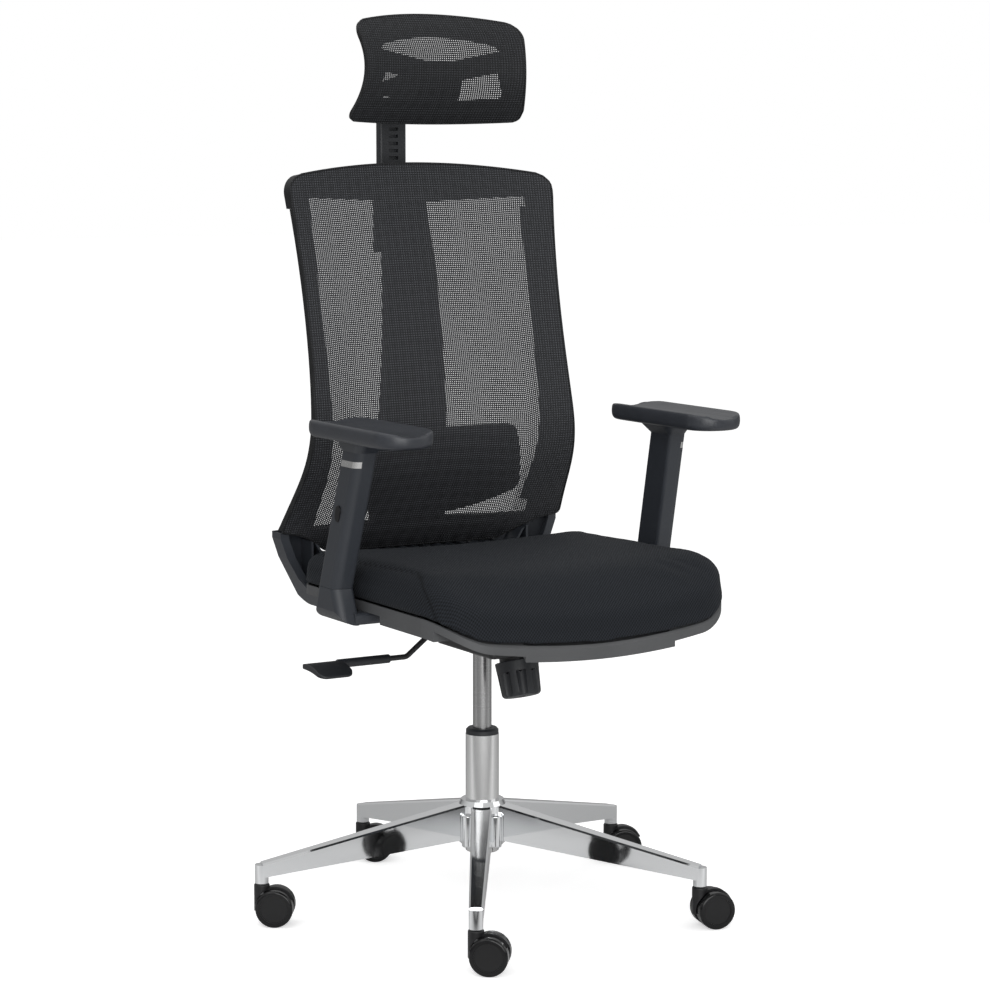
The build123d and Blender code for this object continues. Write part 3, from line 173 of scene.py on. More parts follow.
def object_place(tree, stretch=(1, 1, 1), turn=(0, 0, 0)):
    """Object coordinates, stretched and turned by a Mapping node."""
    place = node(tree, "TexCoord")
    mapping = node(tree, "Mapping", Scale=stretch, Rotation=turn)
    tree.links.new(place.outputs["Object"], mapping.inputs["Vector"])
    return mapping.outputs["Vector"]


def noise(tree, where, scale, detail=3.0, roughness=0.55):
    made = node(tree, "TexNoise", scale=scale, detail=detail, roughness=roughness)
    tree.links.new(where, made.inputs["Vector"])
    return made.outputs["Fac"]


def spread(tree, value, low, high):
    """Map a 0 to 1 pattern to a range of values."""
    made = node(tree, "MapRange")
    made.inputs["To Min"].default_value = low
    made.inputs["To Max"].default_value = high
    tree.links.new(value, made.inputs["Value"])
    return made.outputs["Result"]


def tint(tree, value, dark, light):
    """Colour between two tones by a pattern."""
    made = node(tree, "ValToRGB")
    made.color_ramp.elements[0].color = (*dark, 1)
    made.color_ramp.elements[1].color = (*light, 1)
    tree.links.new(value, made.inputs["Fac"])
    return made.outputs["Color"]


def bump(tree, shader, height, depth, strength=1.0):
    """Bump of a real depth in metres."""
    made = node(tree, "Bump")
    made.inputs["Strength"].default_value = strength
    made.inputs["Distance"].default_value = depth
    tree.links.new(height, made.inputs["Height"])
    tree.links.new(made.outputs["Normal"], shader.inputs["Normal"])


def blended(tree, factor, first, second, way="MIX"):
    """Two colours mixed by a factor; each is a link or a plain colour."""
    made = node(tree, "Mix", data_type="RGBA", blend_type=way)
    tree.links.new(factor, made.inputs[0])
    for socket, colour in ((made.inputs[6], first), (made.inputs[7], second)):
        if isinstance(colour, tuple):
            socket.default_value = (*colour, 1)
        else:
            tree.links.new(colour, socket)
    return made.outputs[2]


def darkened(tree, colour, mark, share):
    """A colour taken down to a share of itself where a mark is set."""
    return blended(tree, mark, colour, (share, share, share), "MULTIPLY")


def scaled(colour, factor):
    return tuple(channel * factor for channel in colour)


# %% [markdown]
# Moulded plastic is spark-eroded: the mould is left with a fine grain, so the part has
# tiny even pits and a soft, broken gloss. A cell pattern at about half a millimetre gives
# the pits, and a broad noise makes the gloss drift a little.

# %% Moulded plastics
def moulded(name, colour, roughness, grain_size=0.0006, depth=0.00003, shine=0.5):
    finish, tree, shader = new_finish(name, colour, roughness, shine=shine)
    where = object_place(tree)
    cells = node(tree, "TexVoronoi", Scale=1 / grain_size)
    tree.links.new(where, cells.inputs["Vector"])
    drift = noise(tree, where, 14, 4)
    tone = tint(tree, drift, scaled(colour, 0.85), scaled(colour, 1.15))
    tree.links.new(tone, shader.inputs["Base Color"])
    gloss = spread(tree, drift, roughness - 0.06, roughness + 0.06)
    tree.links.new(gloss, shader.inputs["Roughness"])
    bump(tree, shader, cells.outputs["Distance"], depth)
    return finish


black_moulding = moulded("black_moulding", (0.0155, 0.0172, 0.0205), 0.46)
# A darker copy of the black moulding: painted shade for the frame and rails that lie behind the knit.
frame_moulding_shaded = moulded("frame_moulding_shaded", (0.006, 0.0064, 0.0072), 0.5, shine=0.3)
arm_moulding = moulded("arm_moulding", (0.028, 0.0318, 0.039), 0.42)
pan_moulding = moulded("pan_moulding", (0.076, 0.078, 0.081), 0.52, 0.0009, 0.00005)
castor_nylon = moulded("castor_nylon", (0.009, 0.009, 0.01), 0.38, shine=0.4)
button_nylon = moulded("button_nylon", (0.005, 0.005, 0.0055), 0.4, shine=0.3)
plain_rubber = moulded("plain_rubber", (0.02, 0.02, 0.02), 0.7)
print("plastics made")

# %% [markdown]
# Plated castings are mirror bright, yet never quite flat: a slow waviness bends the
# reflections. The tubes are drawn and polished, so their finish runs in fine rings and
# the gloss is broken across them. Small steel parts have a dull zinc bloom.

# %% Metals
def plated(name, colour, roughness, wave=0.0002):
    finish, tree, shader = new_finish(name, colour, roughness, metallic=1.0)
    where = object_place(tree)
    slow = noise(tree, where, 16, 1)
    smear = noise(tree, where, 60, 4)
    tree.links.new(spread(tree, smear, roughness * 0.6, roughness * 1.6), shader.inputs["Roughness"])
    bump(tree, shader, slow, wave)
    return finish


def drawn_tube(name, colour, roughness):
    finish, tree, shader = new_finish(name, colour, roughness, metallic=1.0)
    rings = noise(tree, object_place(tree, (6, 6, 900)), 1, 3)
    tree.links.new(spread(tree, rings, roughness - 0.03, roughness + 0.04), shader.inputs["Roughness"])
    bump(tree, shader, rings, 0.000003)
    return finish


def powder_coat(name, colour, roughness):
    finish, tree, shader = new_finish(name, colour, roughness)
    peel = noise(tree, object_place(tree), 700, 2)
    tree.links.new(tint(tree, peel, scaled(colour, 0.8), scaled(colour, 1.2)), shader.inputs["Base Color"])
    tree.links.new(spread(tree, peel, roughness - 0.08, roughness + 0.08), shader.inputs["Roughness"])
    bump(tree, shader, peel, 0.00008)
    return finish


chrome_casting = plated("chrome_casting", (0.84, 0.85, 0.86), 0.05)
chrome_trim = plated("chrome_trim", (0.8, 0.8, 0.79), 0.22, 0.00005)
satin_tube = drawn_tube("satin_tube", (0.42, 0.42, 0.42), 0.26)
polished_tube = drawn_tube("polished_tube", (0.82, 0.82, 0.82), 0.2)
zinc_steel = drawn_tube("zinc_steel", (0.5, 0.51, 0.52), 0.38)
black_coat = powder_coat("black_coat", (0.018, 0.018, 0.019), 0.42)
print("metals made")

# %% [markdown]
# A castor wheel has a bright polished rim round a dull disc. The two are one moulding, so
# the finish is told apart by how far a point is from the axle. The distance is measured
# in the wheel's own axes: a Mapping node moves the axle to the origin and turns it to Z.

# %% Castor wheel finish
disc_edge = 0.0205
edge_blur = 0.0004


def wheel_finish(name, joint):
    colour = (0.006, 0.006, 0.0065)
    finish, tree, shader = new_finish(name, colour, 0.3, shine=0.35)
    axle = Vector(joint["axis"]).to_track_quat("Z", "Y").inverted()
    centre = axle @ Vector(joint["pos_m"])
    turn = axle.to_euler()
    where = node(tree, "TexCoord")
    mapping = node(tree, "Mapping", Location=-centre, Rotation=turn)
    tree.links.new(where.outputs["Object"], mapping.inputs["Vector"])
    flat = node(tree, "VectorMath", operation="MULTIPLY")
    flat.inputs[1].default_value = (1, 1, 0)
    tree.links.new(mapping.outputs["Vector"], flat.inputs[0])
    reach = node(tree, "VectorMath", operation="LENGTH")
    tree.links.new(flat.outputs["Vector"], reach.inputs[0])
    rim = node(tree, "MapRange", interpolation_type="SMOOTHSTEP")
    rim.inputs["From Min"].default_value = disc_edge - edge_blur
    rim.inputs["From Max"].default_value = disc_edge + edge_blur
    rim.inputs["To Min"].default_value = 0.46
    rim.inputs["To Max"].default_value = 0.12
    tree.links.new(reach.outputs["Value"], rim.inputs["Value"])
    tree.links.new(rim.outputs["Result"], shader.inputs["Roughness"])
    cells = node(tree, "TexVoronoi", Scale=1500)
    tree.links.new(where.outputs["Object"], cells.inputs["Vector"])
    bump(tree, shader, cells.outputs["Distance"], 0.00001)
    return finish


joints = {joint["name"]: joint for joint in frame["joints"]}
wheel_finishes = {}
for castor in range(1, 6):
    roll = joints["caster_%d_wheel_left_roll" % castor]
    wheel_finishes[castor] = wheel_finish("wheel_%d" % castor, roll)
print("wheel finishes", len(wheel_finishes))

# %% [markdown]
# The seat cover is a fine twill: ribs that climb on the slant, crossed by weaker ones, so
# small diamonds show. A weave follows the cloth and not the room, so the cover carries
# its own weave coordinates as an attribute, and two turned wave patterns read them. The
# cover also has a soft sheen at grazing angles. The knitted mesh is a plainer yarn whose
# loops catch the light in rows, so two level waves, one across and one up, are multiplied.

# %% Seat twill
def twill(name, colour, pitch, slant):
    finish, tree, shader = new_finish(name, colour, 0.8, sheen=0.04, shine=0.2)
    shader.inputs["Sheen Roughness"].default_value = 0.45
    shader.inputs["Sheen Tint"].default_value = (0.5, 0.52, 0.56, 1)
    cloth_place = node(tree, "Attribute", attribute_name="weave").outputs["Vector"]
    waves = []
    for way in (1, -1):
        turned = node(tree, "Mapping", Rotation=(0, 0, way * slant))
        tree.links.new(cloth_place, turned.inputs["Vector"])
        ribs = node(tree, "TexWave", Scale=2 * math.pi / 20 / pitch, Distortion=0.3, Detail=1.0)
        tree.links.new(turned.outputs["Vector"], ribs.inputs["Vector"])
        waves.append(ribs.outputs["Fac"])
    crossed = node(tree, "Math", operation="MULTIPLY_ADD")
    crossed.inputs[1].default_value = 0.6
    tree.links.new(waves[1], crossed.inputs[0])
    tree.links.new(waves[0], crossed.inputs[2])
    fibre = noise(tree, object_place(tree), 900, 2)
    weave = node(tree, "Math", operation="ADD")
    tree.links.new(crossed.outputs["Value"], weave.inputs[0])
    tree.links.new(spread(tree, fibre, -0.2, 0.2), weave.inputs[1])
    height = node(tree, "MapRange")
    height.inputs["From Max"].default_value = 1.6
    tree.links.new(weave.outputs["Value"], height.inputs["Value"])
    tone = tint(tree, height.outputs["Result"], scaled(colour, 0.1), scaled(colour, 2.4))
    # Painted shade: along the pressed seam the cover's colour is taken down to 0.35 of itself, for the shade in
    # the groove.
    seam = node(tree, "Attribute", attribute_name="seam")
    seam_shaded = darkened(tree, tone, seam.outputs["Fac"], 0.35)
    tree.links.new(seam_shaded, shader.inputs["Base Color"])
    bump(tree, shader, height.outputs["Result"], 0.0005, 0.8)
    return finish


seat_twill = twill("seat_twill", (0.0088, 0.0104, 0.0132), 0.0037, math.radians(36.8))
print("twill made")

# %% Mesh yarn
loop_size = (0.0042, 0.0036)


def yarn(name, colour):
    finish, tree, shader = new_finish(name, colour, 0.62, sheen=0.03, shine=0.25)
    where = object_place(tree)
    loops = node(tree, "Math", operation="MULTIPLY")
    for socket, way in enumerate("XZ"):
        period = loop_size[socket]
        rows = node(tree, "TexWave", bands_direction=way, Scale=2 * math.pi / 20 / period)
        tree.links.new(where, rows.inputs["Vector"])
        tree.links.new(rows.outputs["Fac"], loops.inputs[socket])
    tone = tint(tree, loops.outputs["Value"], scaled(colour, 0.45), scaled(colour, 2.3))
    tree.links.new(tone, shader.inputs["Base Color"])
    bump(tree, shader, noise(tree, where, 1200, 2), 0.0001)
    return finish


mesh_yarn = yarn("mesh_yarn", (0.033, 0.0345, 0.0385))
# A darker copy of the mesh yarn: painted shade on the headrest's knit.
head_yarn_shaded = yarn("head_yarn_shaded", (0.0185, 0.0195, 0.022))
binding_yarn = yarn("binding_yarn", (0.012, 0.0125, 0.014))
print("yarns made")

# %% [markdown]
# The arm pads are self-skinning foam: a smooth, slightly leathery skin with a dull gloss.
# A cell pattern with rounded edges gives the leathery pebble.

# %% Foam skin
def foam_skin(name, colour, roughness):
    finish, tree, shader = new_finish(name, colour, roughness, shine=0.5)
    where = object_place(tree)
    pebble = node(tree, "TexVoronoi", feature="SMOOTH_F1", Scale=750)
    tree.links.new(where, pebble.inputs["Vector"])
    drift = noise(tree, where, 25, 3)
    tree.links.new(tint(tree, drift, scaled(colour, 0.8), scaled(colour, 1.2)), shader.inputs["Base Color"])
    tree.links.new(spread(tree, drift, roughness - 0.07, roughness + 0.07), shader.inputs["Roughness"])
    bump(tree, shader, pebble.outputs["Distance"], 0.00025, 0.6)
    return finish


pad_skin = foam_skin("pad_skin", (0.031, 0.034, 0.041), 0.36)
print("foam skin made")

# %% [markdown]
# Seat padding. On the real chair a foam block is glued to the pan and a sewn cover is
# pulled over it and stapled under the rim. It could be sculpted by hand, but cloth that
# is blown up by a little pressure, held at the rim, takes the taut and slightly full
# shape by itself. The start is the engineering block, drawn in by a few millimetres.

# %% Blow up the seat cover
voxel = 0.005
draw_in = 0.002
most_swell = 0.004
cloth_steps = 20
cushion = copy_of("seat_cushion", "seat_padding")
edit(cushion)
bpy.ops.transform.shrink_fatten(value=-draw_in)
done()
cushion.data.remesh_voxel_size = voxel
pick(cushion)
bpy.ops.object.voxel_remesh()
start = points_of(cushion)
below = np.array([v.normal.z for v in cushion.data.vertices]) < -0.3
held = cushion.vertex_groups.new(name="held")
held.add(np.flatnonzero(below).tolist(), 1.0, "REPLACE")
print("cover points", len(start), "held at the rim", int(below.sum()))

# %% Run the cloth and keep its swell small
cloth = cushion.modifiers.new("cloth", "CLOTH")
cloth.settings.use_pressure = True
cloth.settings.uniform_pressure_force = 4
cloth.settings.vertex_group_mass = "held"
cloth.settings.effector_weights.gravity = 0
cloth.settings.tension_stiffness = 30
cloth.settings.quality = 4
for step in range(1, cloth_steps + 1):
    scene.frame_set(step)
pick(cushion)
bpy.ops.object.modifier_apply(modifier="cloth")
scene.frame_set(1)
swell = points_of(cushion) - start
length = np.linalg.norm(swell, axis=1, keepdims=True)
put_points(cushion, start + swell * np.minimum(1, most_swell / np.maximum(length, 1e-9)))
print("swell in mm, mean and most", 1000 * length.mean(), 1000 * length.max())
modify(cushion, "SMOOTH", factor=0.5, iterations=6)
modify(cushion, "SUBSURF", levels=1, render_levels=1)

# %% [markdown]
# The cover is sewn from a top panel, which also wraps the front, and a border on each
# side. Their seam runs along the shoulder and turns down near the front corner. A seam
# this fine is best pressed into the finished shape: points near the line go in a little,
# and the line is kept as an attribute, by which the finish paints shade into the groove.

# %% Press the side seams into the cover
shoulder_rear = Vector((0.110, 0.540))
shoulder_front = Vector((-0.205, 0.550))
seam_bend = Vector((-0.262, 0.548))
seam_foot = Vector((-0.284, 0.486))
seam_width = 0.0022
seam_depth = 0.0016
flank_start = 0.19
seam_line = [shoulder_rear.lerp(shoulder_front, k / 30) for k in range(31)]
for k in range(1, 25):
    share = k / 24
    seam_line.append(shoulder_front.lerp(seam_bend, share).lerp(seam_bend.lerp(seam_foot, share), share))
seam_line = np.array(seam_line)

places = points_of(cushion)
normals = np.array([v.normal for v in cushion.data.vertices])
flank = np.abs(places[:, 0]) > flank_start
gap = places[flank][:, None, 1:] - seam_line[None, :, :]
press = np.zeros(len(places))
press[flank] = np.exp(-((gap ** 2).sum(axis=2).min(axis=1)) / seam_width ** 2)
put_points(cushion, places - normals * press[:, None] * seam_depth)
# The press is also kept as the seam attribute, which the twill finish uses to paint shade into the groove.
seam_shade_mark = cushion.data.attributes.new("seam", "FLOAT", "POINT")
seam_shade_mark.data.foreach_set("value", press.astype(np.float32))
print("seam points", int((press > 0.4).sum()))

# %% [markdown]
# Each panel of the cover has its own weave direction. On the top panel the cloth runs
# over the front roll without a break, so its lengthwise coordinate goes on from depth to
# height. The side borders are separate pieces of cloth and count along their own length.

# %% Weave coordinates of the panels
most_wrap = 0.05
across, along, high = places.T
wrapped = np.clip(along - seam_foot.y, 0, most_wrap) * np.abs(normals[:, 0])
top_panel = np.column_stack((across + np.sign(across) * wrapped, along + high, 0 * high))
side_panel = np.column_stack((along, high, 0 * high))
border = flank & (along > seam_foot.y) & (high < np.interp(along, seam_line[::-1, 0], seam_line[::-1, 1]))
weave = np.where(border[:, None], side_panel, top_panel).astype(np.float32)
weave_mark = cushion.data.attributes.new("weave", "FLOAT_VECTOR", "POINT")
weave_mark.data.foreach_set("vector", weave.ravel())
print("border points", int(border.sum()))

# %% Hand the padding over
cushion.data.materials.append(seat_twill)
pick(cushion)
bpy.ops.object.shade_smooth()
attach(cushion, "seat")
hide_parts("seat_cushion")
print("seat padding faces", len(cushion.data.polygons))

# %% [markdown]
# The back is an open knit stretched over its frame, and light comes through where no
# frame is behind it. A see-through picture on a sheet would be flat, so each yarn is a
# real thread: a grid gives the lines, the lines are laid on the engineering sheet, and a
# round section turns them into tubes. Threads follow the outline, as a stretched knit does.

# %% Find the front and outline of a sheet
class Sheet:
    """The front of an engineering skin, and its outline, found by probing it."""

    def __init__(self, node_name, side_margin):
        mesh = frame["nodes"][node_name].data
        mesh.calc_loop_triangles()
        corners = [tuple(v.co) for v in mesh.vertices]
        faces = [tuple(t.vertices) for t in mesh.loop_triangles]
        self.tree = BVHTree.FromPolygons(corners, faces)
        low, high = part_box(node_name)
        self.middle = (low[2] + high[2]) / 2
        self.side_rows = np.linspace(low[2] + side_margin, high[2] - side_margin, 60)
        self.side_reach = np.array([self.edge(0, z, 1, 0) for z in self.side_rows])
        self.columns = np.linspace(0, self.side_reach.max() * 0.9999, 60)
        inside = np.minimum(self.columns, np.interp(self.middle, self.side_rows, self.side_reach) * 0.999)
        self.tops = np.array([self.edge(x, self.middle, 0, 1) for x in inside])
        self.feet = np.array([self.edge(x, self.middle, 0, -1) for x in inside])

    def front(self, x, z):
        hit = self.tree.ray_cast(Vector((x, -2, z)), Vector((0, 1, 0)))[0]
        return None if hit is None else hit.y

    def edge(self, x, z, step_x, step_z):
        """Where the skin ends on a straight way out, by halving the step."""
        reach, step = 0.0, 0.5
        for _ in range(18):
            step /= 2
            if self.front(x + step_x * (reach + step), z + step_z * (reach + step)) is not None:
                reach += step
        return (x if step_x else z) + (step_x + step_z) * reach

    def place(self, across, up):
        """Point of the skin for across -1 to 1 and up 0 to 1."""
        x = across * self.side_reach[30]
        for _ in range(3):
            top = np.interp(abs(x), self.columns, self.tops)
            foot = np.interp(abs(x), self.columns, self.feet)
            z = foot + (top - foot) * up
            x = across * np.interp(z, self.side_rows, self.side_reach)
        y = None
        pull = 1.0
        while y is None:
            pull -= 0.002
            y = self.front(x * pull, self.middle + (z - self.middle) * pull)
        return x * pull, y, self.middle + (z - self.middle) * pull


print("sheet probe ready")

# %% [markdown]
# One set of threads starts as a flat grid. The lines that cross the wanted direction are
# deleted, what is left is laid on the sheet and made a curve, and the curve's bevel gives
# the round section. A stretched yarn is pressed flat, so the tube is squeezed after that.

# %% Lay threads on a sheet
thread_flatness = 0.4


def laid_threads(name, sheet, lines, stops, upright, thread, sink):
    """One set of parallel threads, upright or level, as closed tubes."""
    counts = (lines, stops) if upright else (stops, lines)
    bpy.ops.object.select_all(action="DESELECT")
    bpy.ops.mesh.primitive_grid_add(x_subdivisions=counts[0] - 1, y_subdivisions=counts[1] - 1, size=2)
    piece = bpy.context.object
    piece.name = name
    spots = points_of(piece)
    run = 1 if upright else 0
    edit(piece)
    bpy.ops.mesh.delete(type="ONLY_FACE")
    done()
    for line in piece.data.edges:
        first, last = (spots[v] for v in line.vertices)
        line.select = bool(abs(first[run] - last[run]) < 1e-6)
    for point in piece.data.vertices:
        point.select = False
    pick(piece)
    scene.tool_settings.mesh_select_mode = (False, True, False)
    bpy.ops.object.mode_set(mode="EDIT")
    bpy.ops.mesh.delete(type="EDGE")
    done()
    scene.tool_settings.mesh_select_mode = (True, False, False)
    spots = points_of(piece)
    laid = [sheet.place(s, (t + 1) / 2) for s, t, _ in spots]
    put_points(piece, np.array(laid) + np.array([0, sink, 0]))
    pick(piece)
    bpy.ops.object.convert(target="CURVE")
    piece.data.dimensions = "3D"
    piece.data.fill_mode = "FULL"
    piece.data.bevel_depth = thread / 2
    piece.data.bevel_resolution = 0
    piece.data.use_fill_caps = True
    bpy.ops.object.convert(target="MESH")
    piece = bpy.context.object
    round_section = points_of(piece)
    for spot in round_section:
        rest = sheet.front(spot[0], spot[2])
        if rest is not None:
            spot[1] = rest + sink + (spot[1] - rest - sink) * thread_flatness
    put_points(piece, round_section)
    edit(piece)
    bpy.ops.mesh.remove_doubles(threshold=1e-5)
    done()
    return piece


print("thread helper ready")

# %% [markdown]
# The cut edge of the knit is folded and sewn into a binding that is pushed into a groove
# of the frame. A closed curve round the outline, with a round bevel, is enough for it.

# %% Bind the edge of a sheet
def binding(name, sheet, thick, sink):
    """A closed cord along the sheet's outline."""
    ring = [(s, 0.0) for s in np.linspace(-1, 1, 40)[:-1]]
    ring += [(1.0, t) for t in np.linspace(0, 1, 60)[:-1]]
    ring += [(s, 1.0) for s in np.linspace(1, -1, 40)[:-1]]
    ring += [(-1.0, t) for t in np.linspace(1, 0, 60)[:-1]]
    curve = bpy.data.curves.new(name, "CURVE")
    curve.dimensions = "3D"
    line = curve.splines.new("POLY")
    line.points.add(len(ring) - 1)
    for point, (s, t) in zip(line.points, ring):
        x, y, z = sheet.place(s, t)
        point.co = (x, y + sink, z, 1)
    line.use_cyclic_u = True
    curve.fill_mode = "FULL"
    curve.bevel_depth = thick / 2
    curve.bevel_resolution = 2
    piece = bpy.data.objects.new(name, curve)
    scene.collection.objects.link(piece)
    pick(piece)
    bpy.ops.object.convert(target="MESH")
    return bpy.context.object


print("binding helper ready")

# %% [markdown]
# The two sets of threads are joined to one knit, which takes the place of the thin closed
# skin of the engineering model. The threads lie a little behind the skin's front, so that
# they touch the frame. The pitch is that of the open mesh on the real back.

# %% Knit the back and the headrest
knit_pitch = (0.0036, 0.0030)
knit_thread = (0.0023, 0.0019)
thread_sink = 0.0006
warp_stops, weft_stops = 26, 18
binding_thick = 0.0036
binding_sink = 0.0012


def knit(name, node_name, body, side_margin, face):
    """The knitted skin that stands for an engineering sheet, with its binding."""
    sheet = Sheet(node_name, side_margin)
    low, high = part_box(node_name)
    lines = round((high[0] - low[0]) / knit_pitch[0])
    rows = round((high[2] - low[2]) / knit_pitch[1])
    warp = laid_threads(name + "_warp", sheet, lines, warp_stops, True, knit_thread[0], thread_sink)
    weft = laid_threads(name + "_weft", sheet, rows, weft_stops, False, knit_thread[1], thread_sink)
    bpy.ops.object.select_all(action="DESELECT")
    weft.select_set(True)
    warp.select_set(True)
    bpy.context.view_layer.objects.active = warp
    bpy.ops.object.join()
    warp.name = name
    edge = binding(name + "_binding", sheet, binding_thick, binding_sink)
    for piece, finish in ((warp, face), (edge, binding_yarn)):
        piece.data.materials.clear()
        piece.data.materials.append(finish)
        smooth_shaded(piece, 60)
        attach(piece, body)
    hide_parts(node_name)
    print(name, "threads", lines + rows, "faces", len(warp.data.polygons))
    return warp, edge


back_knit, back_edge = knit("back_knit", "back_mesh", "seat", 0.04, mesh_yarn)
head_knit, head_edge = knit("headrest_knit", "headrest_mesh", "headrest", 0.02, head_yarn_shaded)

# %% [markdown]
# Arm pads. Foam is poured into a mould and skins over, so a pad has no sharp edge: two
# round bolsters with a trough between them for the forearm, open at the front. The
# engineering pad is remeshed to an even grid and smoothed until its sides are round.
# Smoothing shrinks it, so it is stretched back to its size before the trough is pressed.

# %% Soft arm pads
pad_voxel = 0.003
pad_smoothing = 40
trough_depth = 0.009


def slice_middle_and_half(places):
    """Middle and half width of a pad at each point, from slices along its length."""
    stations = np.linspace(places[:, 1].min() + 0.004, places[:, 1].max() - 0.004, 24)
    edges = []
    for station in stations:
        across = places[np.abs(places[:, 1] - station) < 0.005, 0]
        edges.append((across.min(), across.max()))
    left, right = np.array(edges).T
    middle = np.interp(places[:, 1], stations, (left + right) / 2)
    return middle, np.interp(places[:, 1], stations, (right - left) / 2)


def soft_pad(side):
    source = "arm_pad_" + side
    pad = copy_of(source, "soft_" + source)
    pad.data.remesh_voxel_size = pad_voxel
    pick(pad)
    bpy.ops.object.voxel_remesh()
    modify(pad, "SMOOTH", factor=0.5, iterations=pad_smoothing)
    places = points_of(pad)
    low, high = (np.array(corner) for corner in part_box(source))
    size_now = places.max(axis=0) - places.min(axis=0)
    places = low + (places - places.min(axis=0)) * (high - low) / size_now
    middle, half = slice_middle_and_half(places)
    upward = np.clip([v.normal.z for v in pad.data.vertices], 0, 1)
    share = np.clip((places[:, 0] - middle) / half, -1, 1)
    places[:, 2] -= trough_depth * (1 - share ** 2) * upward
    put_points(pad, places)
    modify(pad, "SUBSURF", levels=1, render_levels=1)
    pad.data.materials.append(pad_skin)
    pick(pad)
    bpy.ops.object.shade_smooth()
    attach(pad, "arm_" + side)
    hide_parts(source)
    return pad


for side in ("left", "right"):
    print(side, "pad faces", len(soft_pad(side).data.polygons))

# %% [markdown]
# Every engineering node that stays in view gets its finish here, by the material slot
# that the record gives it. Some nodes differ from their slot: the outer tube, the
# mouldings behind the mesh, which take a darker copy of the black moulding as painted
# shade, the lower bracket, the arm buttons, and the wheels, whose finish needs the place
# of their axle.

# %% Finishes of the hard parts
finish_of_slot = {
    "chrome": chrome_casting,
    "satin_chrome": satin_tube,
    "steel": zinc_steel,
    "black_metal": black_coat,
    "black_plastic": black_moulding,
    "pan_plastic": pan_moulding,
    "arm_plastic": arm_moulding,
    "trim_chrome": chrome_trim,
    "caster_nylon": castor_nylon,
    "wheel_nylon": castor_nylon,
    "rubber": plain_rubber,
    "pad_pu": pad_skin,
    "seat_fabric": seat_twill,
    "mesh_fabric": mesh_yarn,
}
own_finish = {
    "column_tube": polished_tube,
    "back_bracket": arm_moulding,
    "back_spine": frame_moulding_shaded,
    "headrest_frame": frame_moulding_shaded,
}
for edge in ("top", "bottom", "left", "right"):
    own_finish["back_rail_" + edge] = frame_moulding_shaded
for side in ("left", "right"):
    own_finish["arm_button_" + side] = button_nylon
for castor, finish in wheel_finishes.items():
    for side in ("left", "right"):
        own_finish["caster_%d_wheel_%s" % (castor, side)] = finish
for part in frame["record"]["subparts"]:
    name = part["node"]
    hard = frame["nodes"][name]
    finish = own_finish.get(name, finish_of_slot[part["material_slot"]])
    hard.data.materials.clear()
    hard.data.materials.append(finish)

# %% [markdown]
# The studio is a pale floor under soft light from large panels. Bright metal shows what
# is round it, and in a room that is white all over it would vanish. So the room and floor
# are white to the camera alone, and the plating mirrors a greyer floor and a dim horizon.
# In front of the chair the mirrored floor has a light band and a dark line, which draw the
# long streaks on the legs and the column.

# %% Floor
def greys(ramp, stops):
    """Set a colour ramp to greys at the given places; the last tone runs on to the end."""
    ramp.elements.remove(ramp.elements[0])
    for position, tone in stops:
        stop = ramp.elements.new(position)
        stop.color = (tone, tone, tone, 1)
    ramp.elements[-1].color = (tone, tone, tone, 1)


bpy.ops.object.select_all(action="DESELECT")
bpy.ops.mesh.primitive_plane_add(size=60)
floor = bpy.context.object
floor.name = "floor"
floor_paint, floor_tree, floor_shader = new_finish("floor_paint", (0.9, 0.9, 0.9), 0.8, shine=0.0)
floor_shader.inputs["Emission Color"].default_value = (1, 1, 1, 1)
direct = node(floor_tree, "LightPath").outputs["Is Camera Ray"]
drift = noise(floor_tree, object_place(floor_tree), 3, 2)
pale = tint(floor_tree, drift, (0.9, 0.9, 0.9), (0.94, 0.94, 0.94))
lit_side = node(floor_tree, "VectorMath", operation="DOT_PRODUCT")
lit_side.inputs[1].default_value = (-0.5, -0.866, 0)
floor_tree.links.new(object_place(floor_tree), lit_side.inputs[0])
falloff = node(floor_tree, "MapRange")
falloff.inputs["From Min"].default_value = -1
falloff.inputs["From Max"].default_value = 2
floor_tree.links.new(lit_side.outputs["Value"], falloff.inputs["Value"])
mirrored = node(floor_tree, "ValToRGB")
floor_tree.links.new(falloff.outputs["Result"], mirrored.inputs["Fac"])
greys(mirrored.color_ramp, ((0.0, 0.4), (0.33, 0.62), (0.43, 0.9), (0.48, 0.72), (0.51, 0.5),
                            (0.535, 0.08), (0.56, 0.4), (0.75, 0.5)))
tone = blended(floor_tree, direct, mirrored.outputs["Color"], pale)
floor_tree.links.new(tone, floor_shader.inputs["Base Color"])
floor_tree.links.new(spread(floor_tree, direct, 0.0, 0.5), floor_shader.inputs["Emission Strength"])
floor.data.materials.append(floor_paint)
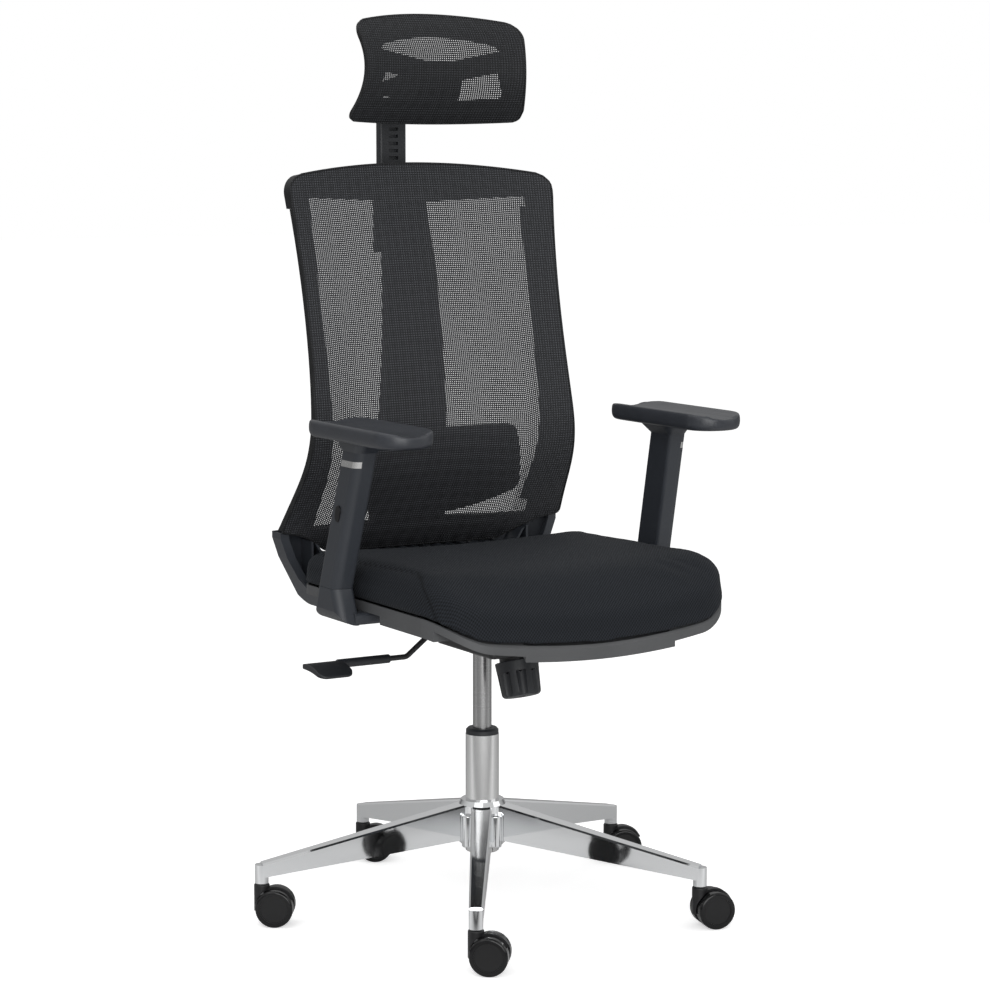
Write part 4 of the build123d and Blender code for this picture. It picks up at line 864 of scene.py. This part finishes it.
print("floor laid")

# %% [markdown]
# The room is a plain background whose tone depends on height: dim at the horizon, so that
# upright plating has a dark edge, and brighter overhead. The camera sees it as white.

# %% Room
room = bpy.data.worlds.new("room")
room.use_nodes = True
scene.world = room
sky = room.node_tree
back_light = sky.nodes["Background"]
direction = node(sky, "TexCoord")
height = node(sky, "SeparateXYZ")
sky.links.new(direction.outputs["Generated"], height.inputs["Vector"])
level = node(sky, "MapRange")
level.inputs["From Min"].default_value = -1
level.inputs["From Max"].default_value = 1
sky.links.new(height.outputs["Z"], level.inputs["Value"])
tones = node(sky, "ValToRGB")
greys(tones.color_ramp, ((0.0, 0.5), (0.47, 0.4), (0.52, 0.12), (0.57, 0.3), (0.7, 0.62)))
sky.links.new(level.outputs["Result"], tones.inputs["Fac"])
seen = node(sky, "LightPath")
shown = blended(sky, seen.outputs["Is Camera Ray"], tones.outputs["Color"], (1.0, 1.0, 1.0))
sky.links.new(shown, back_light.inputs["Color"])
back_light.inputs["Strength"].default_value = 1.0
print("room set")

# %% [markdown]
# Four soft panels light the chair, as in a studio: a key from the left, a weaker fill from
# the right, a strip overhead and a broad one low in front, for the faces turned forward.

# %% Light panels
def panel(name, place, target, size, power):
    """A soft light panel aimed at a point."""
    light = bpy.data.lights.new(name, "AREA")
    light.shape = "RECTANGLE"
    light.size, light.size_y = size
    light.energy = power
    holder = bpy.data.objects.new(name, light)
    scene.collection.objects.link(holder)
    holder.location = place
    holder.rotation_mode = "QUATERNION"
    holder.rotation_quaternion = (Vector(place) - Vector(target)).to_track_quat("Z", "Y")


panel("key", (-2.6, -2.2, 2.6), (0, 0, 0.7), (3.0, 3.0), 24)
panel("fill", (2.6, -2.0, 1.8), (0, 0, 0.6), (2.4, 3.0), 16)
panel("top", (-0.6, 0.2, 3.0), (0, 0, 0.5), (0.8, 3.0), 14)
panel("front", (-1.2, -3.6, 1.1), (0, 0, 0.6), (3.0, 2.0), 66)
scene.view_settings.view_transform = "Standard"
print("light set")
